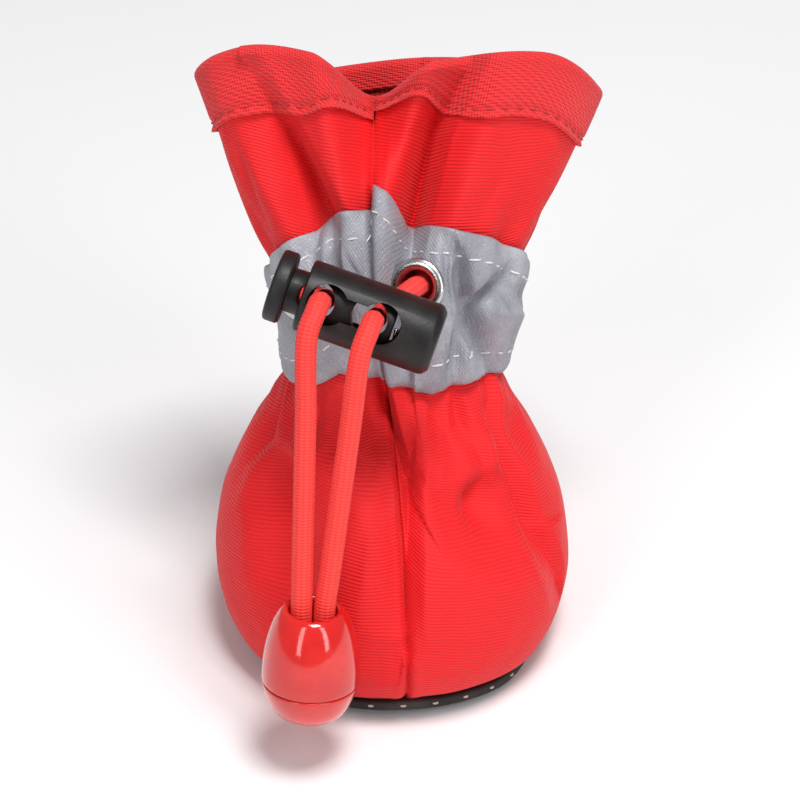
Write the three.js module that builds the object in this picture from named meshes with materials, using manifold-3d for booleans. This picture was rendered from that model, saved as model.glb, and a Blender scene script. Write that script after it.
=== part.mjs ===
// A dog bootie: a soft drawstring boot of ribbed nylon on a thin grip sole.
// It stands on its sole with the toe towards -Y, +X on its left side as it is worn, and +Z up.
// The origin is on the ground under the middle of the sole. Lengths are in millimetres, angles in degrees.
import * as THREE from "three";
import { mergeVertices } from "three/addons/utils/BufferGeometryUtils.js";
import Module from "manifold-3d";

const wasm = await Module();
wasm.setup();
const rad = THREE.MathUtils.degToRad;

// Driving dimensions
const seat = 0.35; // clearance between pieces that touch
const ease = 0.2; // extra clearance where one of them is a sheet of cloth
const sole = { length: 54, width: 44, thickness: 2, edgeRound: 0.5, square: 2.3 };
const spring = { rise: 1.1, length: 8 }; // how far the sole lifts at the tip of toe and heel
const insole = { thickness: 1.2, edge: 0.4 };
const fabric = 1.2; // wall of the upper, shell and lining together
const foot = { length: 59.4, width: 53.2, seamInset: 1 };
const ankle = { width: 30.4, depth: 25, height: 51, setBack: 7, tilt: 27 };
const collar = { width: 58, depth: 24, height: 82, setBack: 18.5, tilt: 30 };
const cord = { diameter: 3, sides: 7, steps: 31 };
const band = { thickness: 0.8, bridge: 0.6, tunnel: 2 };
const hem = { thickness: 0.7, height: 8, facing: 3 };
const eyelet = { slack: 0.8, wall: 0.45, rim: 1.45, roll: 0.5, reach: 2.1, left: -33, right: 21 };
const lock = { radius: 5.15, wall: 1.2, length: 19.8, endWall: 2, chamfer: 1.2, standOff: 5.4 };
const lockHole = { slack: 1.4, first: 3.8, pitch: 7.75, slot: 1.9 };
const button = { thickness: 2.4, neckStep: 0.4, slack: 1.2, web: 0.8 };
const wire = { radius: 0.3, inset: 1, turns: 3.5, sides: 4, stepsPerTurn: 10 };
const turn = { facing: 27, roll: 21, yaw: -7, station: 7.05, angle: 0 }; // how the lock lies
const bell = { length: 17, radius: 6.9, wall: 0.8, socket: 4.5, lean: 8, toeGap: 0.6 };
const lid = { height: 5.4, foot: 4.4, lip: 1.4 };
const knot = { radius: 1.6, out: 1.4 };

// Sizes that follow: each hole is wider than the cord in it, and the button's travel is what takes up
// that play at rest, so that the lock grips both strands.
const cordRadius = cord.diameter / 2;
const eyeletHole = cordRadius + eyelet.slack;
const lockBore = lock.radius - lock.wall;
const stemRadius = lockBore - seat - 0.05;
const barrelHole = cordRadius + lockHole.slack;
const buttonHole = cordRadius + button.slack;
const travel = barrelHole + buttonHole - cord.diameter - 2 * seat - 0.1;
const strandHalf = cordRadius + seat / 2; // half the way between the strands' middles in the cord end
const bellMouthRadius = strandHalf + cordRadius + seat + bell.wall;
const lidHole = knot.radius + seat + 0.1;

// Loops of the upper, from the sole seam up: shares of the drawcord's height and of the foot's half
// length and half width. Toe and heel are how far the loop reaches from the middle of the sole.
const footLoops = [
  { rise: 0.098, wide: 0.935, toe: 0.955, heel: 0.94, tilt: 0 },
  { rise: 0.235, wide: 1.0, toe: 1.017, heel: 0.97, tilt: 0 },
  { rise: 0.412, wide: 0.962, toe: 0.98, heel: 0.965, tilt: 0 },
  { rise: 0.565, wide: 0.845, toe: 0.84, heel: 0.91, tilt: 1 },
  { rise: 0.69, wide: 0.705, toe: 0.61, heel: 0.8, tilt: 3 },
  { rise: 0.808, wide: 0.6, toe: 0.285, heel: 0.64, tilt: 6 },
];
// Loops above the drawcord: shares of the way from the drawcord to the collar, for the height and
// the set back, and shares of the collar's width and depth.
const shaftLoops = [
  { rise: 0.19, back: 0.12, wide: 0.63, deep: 1.03, tilt: 32 },
  { rise: 0.4, back: 0.28, wide: 0.735, deep: 1.03, tilt: 35 },
  { rise: 0.6, back: 0.5, wide: 0.83, deep: 1.02, tilt: 34 },
  { rise: 0.8, back: 0.74, wide: 0.91, deep: 1.01, tilt: 32 },
];
// The centre seam wanders: turn of each loop, in degrees, and sideways shift, as shares of half the
// collar's width, from the sole seam to the collar.
const wander = [
  { turn: 0, side: 0 },
  { turn: 1, side: 0 },
  { turn: 1, side: 0 },
  { turn: 1, side: 0 },
  { turn: 0, side: 0.005 },
  { turn: -3, side: 0.015 },
  { turn: -7, side: 0.025 },
  { turn: -12, side: 0.035 },
  { turn: -13, side: 0.045 },
  { turn: -12, side: 0.055 },
  { turn: -11, side: 0.065 },
  { turn: -10, side: 0.075 },
  { turn: -9, side: 0.085 },
];
const rimStation = 12; // stations count the loops up from the sole seam, which is 0

// Long folds, all pushed inwards: at and lean are the angle from the centre seam at the fold's foot
// and its drift to the top, half is half its width, deep is a share of half the collar's depth.
// Stations say where it starts, is full, holds and ends.
const folds = [
  { at: 0, lean: 0, half: 18, deep: 0.85, start: 8.6, full: 12.6, hold: 13, end: 14 },
  { at: 13, lean: 14, half: 15, deep: 0.38, start: 5.8, full: 8.4, hold: 10, end: 13.6 },
  { at: -24, lean: -4, half: 17, deep: 0.2, start: 6.6, full: 9, hold: 11, end: 13.5 },
  { at: 66, lean: 0, half: 16, deep: 0.16, start: 5.6, full: 7.4, hold: 8, end: 10.5 },
  { at: -68, lean: 0, half: 16, deep: 0.16, start: 5.6, full: 7.4, hold: 8, end: 10.5 },
  { at: 176, lean: 4, half: 22, deep: 0.3, start: 5.8, full: 8.5, hold: 11, end: 14 },
  { at: 132, lean: 0, half: 18, deep: 0.18, start: 5.2, full: 7.5, hold: 8.5, end: 11.5 },
  { at: -130, lean: 0, half: 18, deep: 0.18, start: 5.2, full: 7.5, hold: 8.5, end: 11.5 },
  { at: 8, lean: 2, half: 9, deep: 0.1, start: 3.6, full: 4.8, hold: 5.6, end: 7 },
];
// Dents of the slack toe and heel: depth as a share of half the foot's width.
const dents = [
  { at: -54, station: 3.9, half: 26, span: 1.2, deep: 0.075 },
  { at: 46, station: 3.4, half: 24, span: 1.3, deep: 0.085 },
  { at: 74, station: 4.9, half: 16, span: 0.9, deep: 0.06 },
  { at: -84, station: 4.8, half: 18, span: 0.9, deep: 0.06 },
  { at: 150, station: 4.2, half: 28, span: 1.2, deep: 0.08 },
];
const gathers = { count: 11, deep: 0.085, start: 5.5, end: 8.8 }; // small pleats under the drawcord

const seamHeight = sole.thickness + seat + ease;

// Every loop as a centre, a tilt and half sizes, from the sole seam to the collar rim.
function buildLoops() {
  const loops = [
    {
      z: seamHeight,
      y: 0,
      tilt: 0,
      wide: sole.width / 2 - foot.seamInset,
      deep: sole.length / 2 - foot.seamInset,
    },
  ];
  for (const row of footLoops)
    loops.push({
      z: row.rise * ankle.height,
      y: ((row.heel - row.toe) * foot.length) / 4,
      tilt: row.tilt,
      wide: (row.wide * foot.width) / 2,
      deep: ((row.heel + row.toe) * foot.length) / 4,
    });
  loops.push({
    z: ankle.height,
    y: ankle.setBack,
    tilt: ankle.tilt,
    wide: ankle.width / 2,
    deep: ankle.depth / 2,
  });
  const top = { rise: 1, back: 1, wide: 1, deep: 1, tilt: collar.tilt };
  for (const row of [...shaftLoops, top])
    loops.push({
      z: THREE.MathUtils.lerp(ankle.height, collar.height, row.rise),
      y: THREE.MathUtils.lerp(ankle.setBack, collar.setBack, row.back),
      tilt: row.tilt,
      wide: (row.wide * collar.width) / 2,
      deep: (row.deep * collar.depth) / 2,
    });
  return loops.map((loop, i) => ({
    ...loop,
    turn: wander[i].turn,
    side: (wander[i].side * collar.width) / 2,
  }));
}
const loops = buildLoops();

// A column of the loops at a station between two rows, on a smooth curve through the rows.
function column(name, station) {
  const i = Math.min(Math.max(Math.floor(station), 0), loops.length - 2);
  const row = (k) => loops[Math.min(Math.max(k, 0), loops.length - 1)][name];
  const t = station - i;
  const [a, b] = [row(i), row(i + 1)];
  const [slopeA, slopeB] = [(b - row(i - 1)) / 2, (row(i + 2) - a) / 2];
  const t2 = t * t;
  const t3 = t2 * t;
  return (
    (2 * t3 - 3 * t2 + 1) * a + (t3 - 2 * t2 + t) * slopeA + (3 * t2 - 2 * t3) * b + (t3 - t2) * slopeB
  );
}

const smooth = (x) => THREE.MathUtils.smoothstep(x, 0, 1);
const hump = (x) => (Math.abs(x) < 1 ? (1 + Math.cos(Math.PI * x)) / 2 : 0);
const wrapped = (angle) => ((((angle + 180) % 360) + 360) % 360) - 180;

// How far a point of the fabric is pushed in by folds, dents and gathers.
function pushedIn(angle, station) {
  let depth = 0;
  for (const f of folds) {
    const along =
      smooth((station - f.start) / (f.full - f.start)) *
      (1 - smooth((station - f.hold) / (f.end - f.hold)));
    const middle = f.at + f.lean * ((station - f.start) / (rimStation - f.start));
    depth += ((f.deep * collar.depth) / 2) * along * hump(wrapped(angle - middle) / f.half);
  }
  for (const d of dents)
    depth +=
      ((d.deep * foot.width) / 2) *
      hump(wrapped(angle - d.at) / d.half) *
      hump((station - d.station) / d.span);
  const around = (1 - Math.cos(rad(angle * gathers.count))) / 2;
  const middle = (gathers.start + gathers.end) / 2;
  const along = hump((station - middle) / ((gathers.end - gathers.start) / 2));
  return depth + ((gathers.deep * ankle.depth) / 2) * around * along;
}

// How far the collar's rim rises and falls: two lobes in front, the notch at the seam between them,
// both side corners and the back. Each rise is a share of half the collar's depth.
const rimWaves = [
  { at: -38, half: 52, rise: 0.4 },
  { at: 42, half: 50, rise: 0.2 },
  { at: 0, half: 18, rise: -0.4 },
  { at: 98, half: 46, rise: -0.3 },
  { at: -92, half: 46, rise: 0.12 },
  { at: 180, half: 60, rise: 0.22 },
];
function rimLift(angle, station) {
  const share = smooth((station - 9) / (rimStation - 9)) * (collar.depth / 2);
  return rimWaves.reduce((lift, w) => lift + w.rise * share * hump(wrapped(angle - w.at) / w.half), 0);
}

// A point on the fabric's outer face. Angle 0 is the centre seam at the toe and +90 is the +X side;
// kept is the share of the folds that the surface follows.
function face(angle, station, kept = 1) {
  const inRange = Math.min(station, rimStation);
  const at = (name) => column(name, inRange);
  const turned = rad(angle + at("turn"));
  const squareness = THREE.MathUtils.lerp(sole.square, 2, smooth(inRange / 3));
  const power = (v) => Math.sign(v) * Math.abs(v) ** (2 / squareness);
  const [wide, deep] = [at("wide"), at("deep")];
  const flat = new THREE.Vector2(wide * power(Math.sin(turned)), -deep * power(Math.cos(turned)));
  const outward = new THREE.Vector2(flat.x / wide ** 2, flat.y / deep ** 2).normalize();
  flat.addScaledVector(outward, -kept * pushedIn(angle, inRange));
  const tilt = rad(at("tilt"));
  return new THREE.Vector3(
    flat.x + at("side"),
    at("y") + flat.y * Math.cos(tilt),
    at("z") - flat.y * Math.sin(tilt) + rimLift(angle, inRange),
  );
}

// A point off the fabric: out is along the unfolded face's normal, so that layers never cross in a
// fold, and lift runs on up the wall past the station.
function off(angle, station, out, lift = 0, kept = 1) {
  const step = 0.05;
  const here = Math.min(station, rimStation - step);
  const around = face(angle + 1, here, 0).sub(face(angle - 1, here, 0));
  const up = face(angle, here + step, 0).sub(face(angle, here - step, 0)).normalize();
  const normal = around.normalize().cross(up).normalize();
  return face(angle, station, kept).addScaledVector(normal, out).addScaledVector(up, lift);
}

// Angles round the boot, closer together at the front where the folds are.
const around = 56;
const angles = Array.from({ length: around }, (_, i) => {
  const even = (360 * i) / around - 180;
  return even - THREE.MathUtils.radToDeg(0.38 * Math.sin(rad(even)));
});

// A closed ring-shaped solid: path(angle) lists the same number of points for every angle.
function sweptRing(path) {
  const rings = angles.map(path);
  const n = rings[0].length;
  const index = [];
  for (let i = 0; i < rings.length; i++)
    for (let j = 0; j < n; j++) {
      const [a, b] = [i * n + j, i * n + ((j + 1) % n)];
      const next = ((i + 1) % rings.length) * n;
      const [c, d] = [next + j, next + ((j + 1) % n)];
      index.push(a, c, b, b, c, d);
    }
  return indexed(rings.flat(), index);
}

function indexed(points, index) {
  const geometry = new THREE.BufferGeometry().setFromPoints(points);
  geometry.setIndex(index);
  return geometry;
}

function solid(geometry) {
  const bare = geometry.clone();
  bare.deleteAttribute("normal");
  bare.deleteAttribute("uv");
  const merged = mergeVertices(bare, 1e-4);
  return new wasm.Manifold(
    new wasm.Mesh({
      numProp: 3,
      vertProperties: merged.attributes.position.array,
      triVerts: new Uint32Array(merged.index.array),
    }),
  );
}

function geometryOf(made) {
  const mesh = made.getMesh();
  const geometry = new THREE.BufferGeometry();
  geometry.setAttribute("position", new THREE.BufferAttribute(mesh.vertProperties, 3));
  geometry.setIndex(new THREE.BufferAttribute(mesh.triVerts, 1));
  return geometry;
}

const cut = (body, ...tools) =>
  geometryOf(tools.reduce((left, tool) => left.subtract(solid(tool)), solid(body)));

function piece(name, geometry, color, roughness, metalness = 0) {
  const mesh = new THREE.Mesh(
    geometry,
    new THREE.MeshStandardMaterial({ color, roughness, metalness, flatShading: true }),
  );
  mesh.name = name;
  return mesh;
}

const lathe = (points, segments) =>
  new THREE.LatheGeometry(
    points.map(([r, y]) => new THREE.Vector2(r, y)),
    segments,
  );

// Sole and insole are round solids: each row of the profile is an inset from the outline and a height.
function outlineSolid(length, width, profile) {
  const points = [];
  const lift = (y) => spring.rise * smooth((Math.abs(y) - (sole.length / 2 - spring.length)) / spring.length);
  const count = 40;
  for (const [inset, z] of profile)
    for (let i = 0; i < count; i++) {
      const turned = (2 * Math.PI * i) / count;
      const power = (v) => Math.sign(v) * Math.abs(v) ** (2 / sole.square);
      const x = (width / 2 - inset) * power(Math.sin(turned));
      const y = -(length / 2 - inset) * power(Math.cos(turned));
      points.push(new THREE.Vector3(x, y, z + lift(y)));
    }
  const index = [];
  const rows = profile.length;
  for (let r = 0; r < rows - 1; r++)
    for (let i = 0; i < count; i++) {
      const [a, b] = [r * count + i, r * count + ((i + 1) % count)];
      const [c, d] = [a + count, b + count];
      index.push(a, b, c, b, d, c);
    }
  const low = points.length;
  points.push(new THREE.Vector3(0, 0, profile[0][1]));
  points.push(new THREE.Vector3(0, 0, profile[rows - 1][1]));
  const last = (rows - 1) * count;
  for (let i = 0; i < count; i++) {
    const j = (i + 1) % count;
    index.push(low, j, i, low + 1, last + i, last + j);
  }
  return indexed(points, index);
}

function buildOutsole() {
  const [t, r] = [sole.thickness, sole.edgeRound];
  const flatShare = spring.length + 1;
  return outlineSolid(sole.length, sole.width, [
    [flatShare, 0],
    [spring.length / 2, 0],
    [r, 0],
    [0, r],
    [0, t - r],
    [r, t],
    [spring.length / 2, t],
    [flatShare, t],
  ]);
}

// The insole's edge stands a seat inside the upper's wall at its own level.
function buildInsole() {
  const edge = foot.seamInset + fabric + seat + insole.edge;
  const low = seamHeight;
  return outlineSolid(sole.length, sole.width, [
    [spring.length + edge, low],
    [edge, low],
    [edge, low + insole.thickness],
    [spring.length + edge, low + insole.thickness],
  ]);
}

const upperStations = [
  0, 0.5, 1, 2, 2.7, 3.3, 3.9, 4.4, 5, 5.5, 6, 6.35, 6.7, 7, 7.35, 7.7, 8.2, 8.8, 9.5, 10.2,
];
const liningStations = [0, 0.5, 1, 2, 3, 3.9, 4.7, 5.5, 6, 6.5, 7, 7.5, 8.2, 9, 10];

// Stations of the hem's lower edge, its middle and its inner edge, so far below the rim.
function hemRows(angle) {
  const perStation = face(angle, rimStation).distanceTo(face(angle, rimStation - 1));
  const below = (drop) => rimStation - drop / perStation;
  return { foot: below(hem.height), mid: below(hem.height / 2), inside: below(hem.facing) };
}

// The sole's lift at its tips carries the foot of the upper with it.
function seamLift(point, station) {
  const reach = (Math.abs(point.y) - (sole.length / 2 - spring.length)) / spring.length;
  point.z += spring.rise * smooth(reach) * (1 - smooth(station / 2));
  return point;
}

function buildUpper() {
  return sweptRing((angle) => {
    const { foot: hemFoot, mid, inside } = hemRows(angle);
    const shell = [...upperStations, hemFoot, mid, rimStation];
    const lining = [...liningStations, inside, rimStation].reverse();
    return [
      ...shell.map((s) => seamLift(off(angle, s, 0), s)),
      ...lining.map((s) => seamLift(off(angle, s, -fabric), s)),
    ];
  });
}

// The reflective band is the drawcord's tunnel: sewn down along both edges and bulging between them.
const bandFoot = 6;
const bandTop = (angle) =>
  THREE.MathUtils.lerp(8.1, 9.25, smooth((Math.cos(rad(angle * 0.9)) + 0.2) / 1.2));

function bandPoint(angle, share, out) {
  const station = THREE.MathUtils.lerp(bandFoot, bandTop(angle), share);
  const bulge = Math.sin(Math.PI * share) ** 0.7;
  const kept = 1 - (1 - band.bridge) * bulge;
  return off(angle, station, seat + ease + band.tunnel * bulge + out, 0, kept);
}

function buildBand() {
  const shares = [0, 0.18, 0.4, 0.6, 0.82, 1];
  return sweptRing((angle) => [
    ...shares.map((share) => bandPoint(angle, share, band.thickness)),
    ...[...shares].reverse().map((share) => bandPoint(angle, share, 0)),
  ]);
}

// The collar hem is a facing turned over the rim: a deep flap outside and a short one inside.
function buildHem() {
  const outer = seat + ease + hem.thickness;
  const inner = -fabric - seat - ease;
  return sweptRing((angle) => {
    const { foot: low, mid, inside } = hemRows(angle);
    const under = seat + ease;
    return [
      off(angle, low, under),
      off(angle, low, outer),
      off(angle, mid, outer),
      off(angle, rimStation, outer),
      off(angle, rimStation, -fabric / 2, outer),
      off(angle, rimStation, inner - hem.thickness),
      off(angle, inside, inner - hem.thickness),
      off(angle, inside, inner),
      off(angle, rimStation, inner, under),
      off(angle, rimStation, under, under),
      off(angle, mid, under),
    ];
  });
}

// A frame on the band's outer face: where it is, and its outward direction.
function bandFrame(angle, share) {
  const at = bandPoint(angle, share, band.thickness);
  const across = bandPoint(angle + 6, share, band.thickness).sub(bandPoint(angle - 6, share, band.thickness));
  const up = bandPoint(angle, share + 0.12, band.thickness).sub(
    bandPoint(angle, share - 0.12, band.thickness),
  );
  return { at, out: across.cross(up).normalize() };
}

const eyeletShare = 0.5; // how far up the band they sit
const eyeletTube = eyeletHole + eyelet.wall;
const eyeletFlange = eyeletTube + eyelet.rim;
const eyelets = {
  left: bandFrame(eyelet.left, eyeletShare),
  right: bandFrame(eyelet.right, eyeletShare),
};
const lookAlong = (direction) =>
  new THREE.Quaternion().setFromUnitVectors(new THREE.Vector3(0, 1, 0), direction);

function placed(geometry, at, quaternion) {
  return geometry.clone().applyMatrix4(
    new THREE.Matrix4().compose(at, quaternion, new THREE.Vector3(1, 1, 1)),
  );
}

// Eyelet: a tube through the band with a rolled flange on its face, turned about local Y.
function buildEyelet() {
  const { roll, reach } = eyelet;
  const [hole, tube, flange] = [eyeletHole, eyeletTube, eyeletFlange];
  return lathe(
    [
      [hole, -reach],
      [tube, -reach],
      [tube, seat],
      [flange - roll, seat],
      [flange, seat + roll],
      [flange - roll, seat + 1.7 * roll],
      [hole + roll, seat + 1.7 * roll],
      [hole, seat + 0.6 * roll],
      [hole, -reach],
    ],
    14,
  );
}

// What the band gives up for an eyelet: a hole for the tube and a flat seat for the flange.
function eyeletPocket() {
  const wide = eyeletFlange + seat;
  const high = 6;
  return lathe(
    [
      [0, -high],
      [eyeletTube + seat, -high],
      [eyeletTube + seat, 0],
      [wide, 0],
      [wide, high],
      [0, high],
    ],
    14,
  );
}

// The lock's own frame: Y along the barrel towards its closed end, Z out through the cord holes.
function lockFrame() {
  const facing = new THREE.Vector3(0, -Math.cos(rad(turn.facing)), Math.sin(rad(turn.facing)));
  const side = new THREE.Vector3(1, 0, 0);
  const up = new THREE.Vector3().crossVectors(side, facing).negate();
  const along = side
    .clone()
    .multiplyScalar(Math.cos(rad(turn.roll)))
    .addScaledVector(up, -Math.sin(rad(turn.roll)))
    .applyAxisAngle(up, rad(turn.yaw));
  const out = facing.addScaledVector(along, -facing.dot(along)).normalize();
  const across = new THREE.Vector3().crossVectors(along, out);
  const seatOn = off(turn.angle, turn.station, seat + band.tunnel + band.thickness, 0, band.bridge);
  const middle = seatOn.addScaledVector(out, lock.standOff + lock.radius);
  return { origin: middle, along, out, across };
}
const lockAxes = lockFrame();
const lockTurn = new THREE.Quaternion().setFromRotationMatrix(
  new THREE.Matrix4().makeBasis(lockAxes.across, lockAxes.along, lockAxes.out),
);
const mouthY = -lock.length / 2; // the barrel's open end, along its own axis
const holesY = [mouthY + lockHole.first, mouthY + lockHole.first + lockHole.pitch];
const lockPoint = (along, out, across = 0) =>
  lockAxes.origin
    .clone()
    .addScaledVector(lockAxes.along, along)
    .addScaledVector(lockAxes.out, out)
    .addScaledVector(lockAxes.across, across);

// A round rod through the barrel along its Z, at a place along Y.
function crossRod(radius, y, sides = 16) {
  const rod = new THREE.CylinderGeometry(radius, radius, 4 * lock.radius, sides);
  return rod.rotateX(Math.PI / 2).translate(0, y, 0);
}

function buildBarrel() {
  const [r, end] = [lock.radius, lock.length / 2];
  const shell = lathe(
    [
      [lockBore, mouthY],
      [r - 0.5, mouthY],
      [r, mouthY + 0.5],
      [r, end - lock.chamfer],
      [r - lock.chamfer, end],
      [0, end],
      [0, end - lock.endWall],
      [lockBore, end - lock.endWall],
      [lockBore, mouthY],
    ],
    22,
  );
  const slot = new THREE.BoxGeometry(2 * lockHole.slot, lockHole.pitch, 4 * r);
  slot.translate(0, (holesY[0] + holesY[1]) / 2, 0);
  return cut(shell, crossRod(barrelHole, holesY[0]), crossRod(barrelHole, holesY[1]), slot);
}

// The button's stem fills the bore; the spring keeps its holes out of line with the barrel's.
const stemEnd = holesY[1] - travel + buttonHole + button.web;
function buildButton() {
  const capFace = mouthY - travel - seat;
  const r = lock.radius;
  const shell = lathe(
    [
      [0, capFace - button.thickness],
      [r - 0.6, capFace - button.thickness],
      [r, capFace - button.thickness + 0.6],
      [r, capFace - 0.4],
      [r - 0.4, capFace],
      [stemRadius - button.neckStep, capFace],
      [stemRadius - button.neckStep, mouthY - seat],
      [stemRadius, mouthY + seat],
      [stemRadius, stemEnd],
      [0, stemEnd],
    ],
    22,
  );
  return cut(shell, ...holesY.map((y) => crossRod(buttonHole, y - travel)));
}

const springFoot = stemEnd + seat + wire.radius;
const springHead = lock.length / 2 - lock.endWall - seat - wire.radius;
class Helix extends THREE.Curve {
  getPoint(t, target = new THREE.Vector3()) {
    const a = 2 * Math.PI * wire.turns * t;
    const y = THREE.MathUtils.lerp(springFoot, springHead, t);
    const r = stemRadius - wire.inset;
    return target.set(r * Math.cos(a), y, r * Math.sin(a));
  }
}

function tube(curve, radius, sides, steps) {
  const section = new THREE.Shape(
    Array.from({ length: sides }, (_, i) => {
      const a = (2 * Math.PI * i) / sides;
      return new THREE.Vector2(radius * Math.cos(a), radius * Math.sin(a));
    }),
  );
  return new THREE.ExtrudeGeometry(section, { steps, extrudePath: curve, bevelEnabled: false });
}

// The cord end hangs in front of the toe, to one side of its seam.
const bellSide = -0.534 * (foot.width / 2);
const bellFront = -0.468 * foot.length - bell.radius - bell.toeGap - 0.3;
const bellFoot = new THREE.Vector3(bellSide, bellFront, 0.18 * ankle.height);
const bellUp = new THREE.Vector3(0.06, Math.sin(rad(bell.lean)), Math.cos(rad(bell.lean))).normalize();
const bellTurn = lookAlong(bellUp);
const bellMouth = bellFoot.clone().addScaledVector(bellUp, bell.length);

function buildBell() {
  const top = bell.length;
  return lathe(
    [
      [bell.radius - bell.wall, lid.height + seat],
      [bell.radius, lid.height + seat],
      [bell.radius, top * 0.4],
      [bell.radius * 0.97, top * 0.53],
      [bell.radius * 0.86, top * 0.71],
      [bellMouthRadius, top - 0.4],
      [bellMouthRadius - 0.4, top],
      [bellMouthRadius - bell.wall, top],
      [bellMouthRadius - bell.wall, top * 0.72],
      [bell.radius - bell.wall, top * 0.45],
      [bell.radius - bell.wall, lid.height + seat],
    ],
    18,
  );
}

function buildLid() {
  return lathe(
    [
      [lidHole, 0],
      [lid.foot, 0.5],
      [bell.radius - 0.9, lid.height * 0.45],
      [bell.radius, lid.height],
      [bell.radius - bell.wall - seat, lid.height],
      [bell.radius - bell.wall - seat, lid.height + lid.lip],
      [lidHole, lid.height + lid.lip],
      [lidHole, 0],
    ],
    18,
  );
}

// Two strands run from the eyelets through the lock to the cord end. The lock's left edge of each
// hole carries the strand, a seat away from it.
const pinch = barrelHole - seat - cordRadius;
function strand(side, i) {
  const { at, out } = eyelets[side];
  const y = holesY[i] - pinch;
  const sideways = i ? 1 : -1;
  const mouth = bellMouth.clone().addScaledVector(new THREE.Vector3(1, 0, 0), sideways * strandHalf);
  const start = lockPoint(y, lock.radius + 3.2, 4.4);
  const knee = mouth.clone().lerp(start, 0.12);
  const rear = lockPoint(y, -lock.radius);
  return new THREE.CatmullRomCurve3(
    [
      at.clone().addScaledVector(out, -eyelet.reach + 0.4),
      at.clone().addScaledVector(out, 0.9),
      at.clone().addScaledVector(out, 2.2).lerp(rear, 0.03),
      at.clone().addScaledVector(out, 2.8).lerp(rear, 0.42),
      lockPoint(y, -lock.radius - 1.3),
      lockPoint(y, -lock.radius + 1.2),
      lockPoint(y, lock.radius * 0.5),
      lockPoint(y, lock.radius + 0.9),
      lockPoint(y, lock.radius + 2.6, 1.5),
      start,
      start.clone().lerp(knee, 0.33),
      start.clone().lerp(knee, 0.7),
      knee,
      mouth.clone().addScaledVector(bellUp, 0.6),
      mouth.clone().addScaledVector(bellUp, -bell.socket),
    ],
    false,
    "centripetal",
  );
}

const red = 0xe5171c;
const group = new THREE.Group();
group.name = "dog_bootie";
group.add(piece("outsole", buildOutsole(), 0x191919, 0.85));
group.add(piece("insole", buildInsole(), 0x8d1216, 0.95));
group.add(piece("upper", buildUpper(), red, 0.75));
const pockets = Object.values(eyelets).map(({ at, out }) => placed(eyeletPocket(), at, lookAlong(out)));
group.add(piece("reflective_band", cut(buildBand(), ...pockets), 0x8e9097, 0.45));
group.add(piece("collar_hem", buildHem(), red, 0.8));
for (const [side, { at, out }] of Object.entries(eyelets)) {
  const ring = piece("eyelet_" + side, buildEyelet(), 0xd8d8d8, 0.2, 1);
  ring.position.copy(at);
  ring.quaternion.copy(lookAlong(out));
  group.add(ring);
}

const cordLock = new THREE.Group();
cordLock.position.copy(lockAxes.origin);
cordLock.quaternion.copy(lockTurn);
cordLock.add(piece("lock_barrel", buildBarrel(), 0x17171a, 0.4));
cordLock.add(piece("lock_button", buildButton(), 0x17171a, 0.4));
const coilSteps = wire.turns * wire.stepsPerTurn;
cordLock.add(piece("lock_spring", tube(new Helix(), wire.radius, wire.sides, coilSteps), 0xc8c8c8, 0.25, 1));
group.add(cordLock);

const drawcord = { left: strand("left", 0), right: strand("right", 1) };
for (const [side, route] of Object.entries(drawcord))
  group.add(piece("cord_" + side, tube(route, cordRadius, cord.sides, cord.steps), 0xd9181c, 0.7));

const cordEnd = new THREE.Group();
cordEnd.position.copy(bellFoot);
cordEnd.quaternion.copy(bellTurn);
cordEnd.add(piece("cord_end", buildBell(), 0xe01b1b, 0.15));
cordEnd.add(piece("cord_end_lid", buildLid(), 0xe01b1b, 0.2));
const knotTop = lid.height + 1;
const knotSolid = lathe(
  [
    [0, -knot.out],
    [knot.radius * 0.8, -knot.out * 0.6],
    [knot.radius, 0.6],
    [knot.radius, knotTop - 0.6],
    [knot.radius * 0.6, knotTop],
    [0, knotTop],
  ],
  12,
);
cordEnd.add(piece("cord_knot", knotSolid, 0xd9401c, 0.5));
group.add(cordEnd);

export default group;
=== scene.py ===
import math
import bpy
import numpy as np
from mathutils import Matrix, Vector


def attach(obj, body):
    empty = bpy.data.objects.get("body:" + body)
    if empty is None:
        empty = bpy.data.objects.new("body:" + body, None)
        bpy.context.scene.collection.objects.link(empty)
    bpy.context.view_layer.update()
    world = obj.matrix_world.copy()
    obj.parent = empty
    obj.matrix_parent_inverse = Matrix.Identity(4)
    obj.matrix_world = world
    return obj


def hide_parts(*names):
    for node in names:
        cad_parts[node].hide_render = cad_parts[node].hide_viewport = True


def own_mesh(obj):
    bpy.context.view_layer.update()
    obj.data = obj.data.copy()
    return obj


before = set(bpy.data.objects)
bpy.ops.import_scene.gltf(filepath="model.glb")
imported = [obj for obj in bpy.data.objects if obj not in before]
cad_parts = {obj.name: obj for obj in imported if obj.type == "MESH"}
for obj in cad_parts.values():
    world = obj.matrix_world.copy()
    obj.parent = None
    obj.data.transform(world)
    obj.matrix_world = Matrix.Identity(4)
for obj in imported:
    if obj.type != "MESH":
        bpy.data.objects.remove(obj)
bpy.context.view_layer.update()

# Camera, where the photograph was taken from: above the toe and a little to the left, far away
# with a long lens. It aims at the middle of the bootie, which fills most of the frame's height.
MM = 0.001
camera_data = bpy.data.cameras.new("camera")
camera_data.lens = 150
camera_data.sensor_width = 36
camera = bpy.data.objects.new("camera", camera_data)
bpy.context.scene.collection.objects.link(camera)
camera.location = Vector((-25.7, -407.1, 313.1)) * MM
aim = Vector((0.9, -6, 42.6)) * MM
camera.rotation_euler = (aim - camera.location).to_track_quat("-Z", "Y").to_euler()
bpy.context.scene.camera = camera

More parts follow.
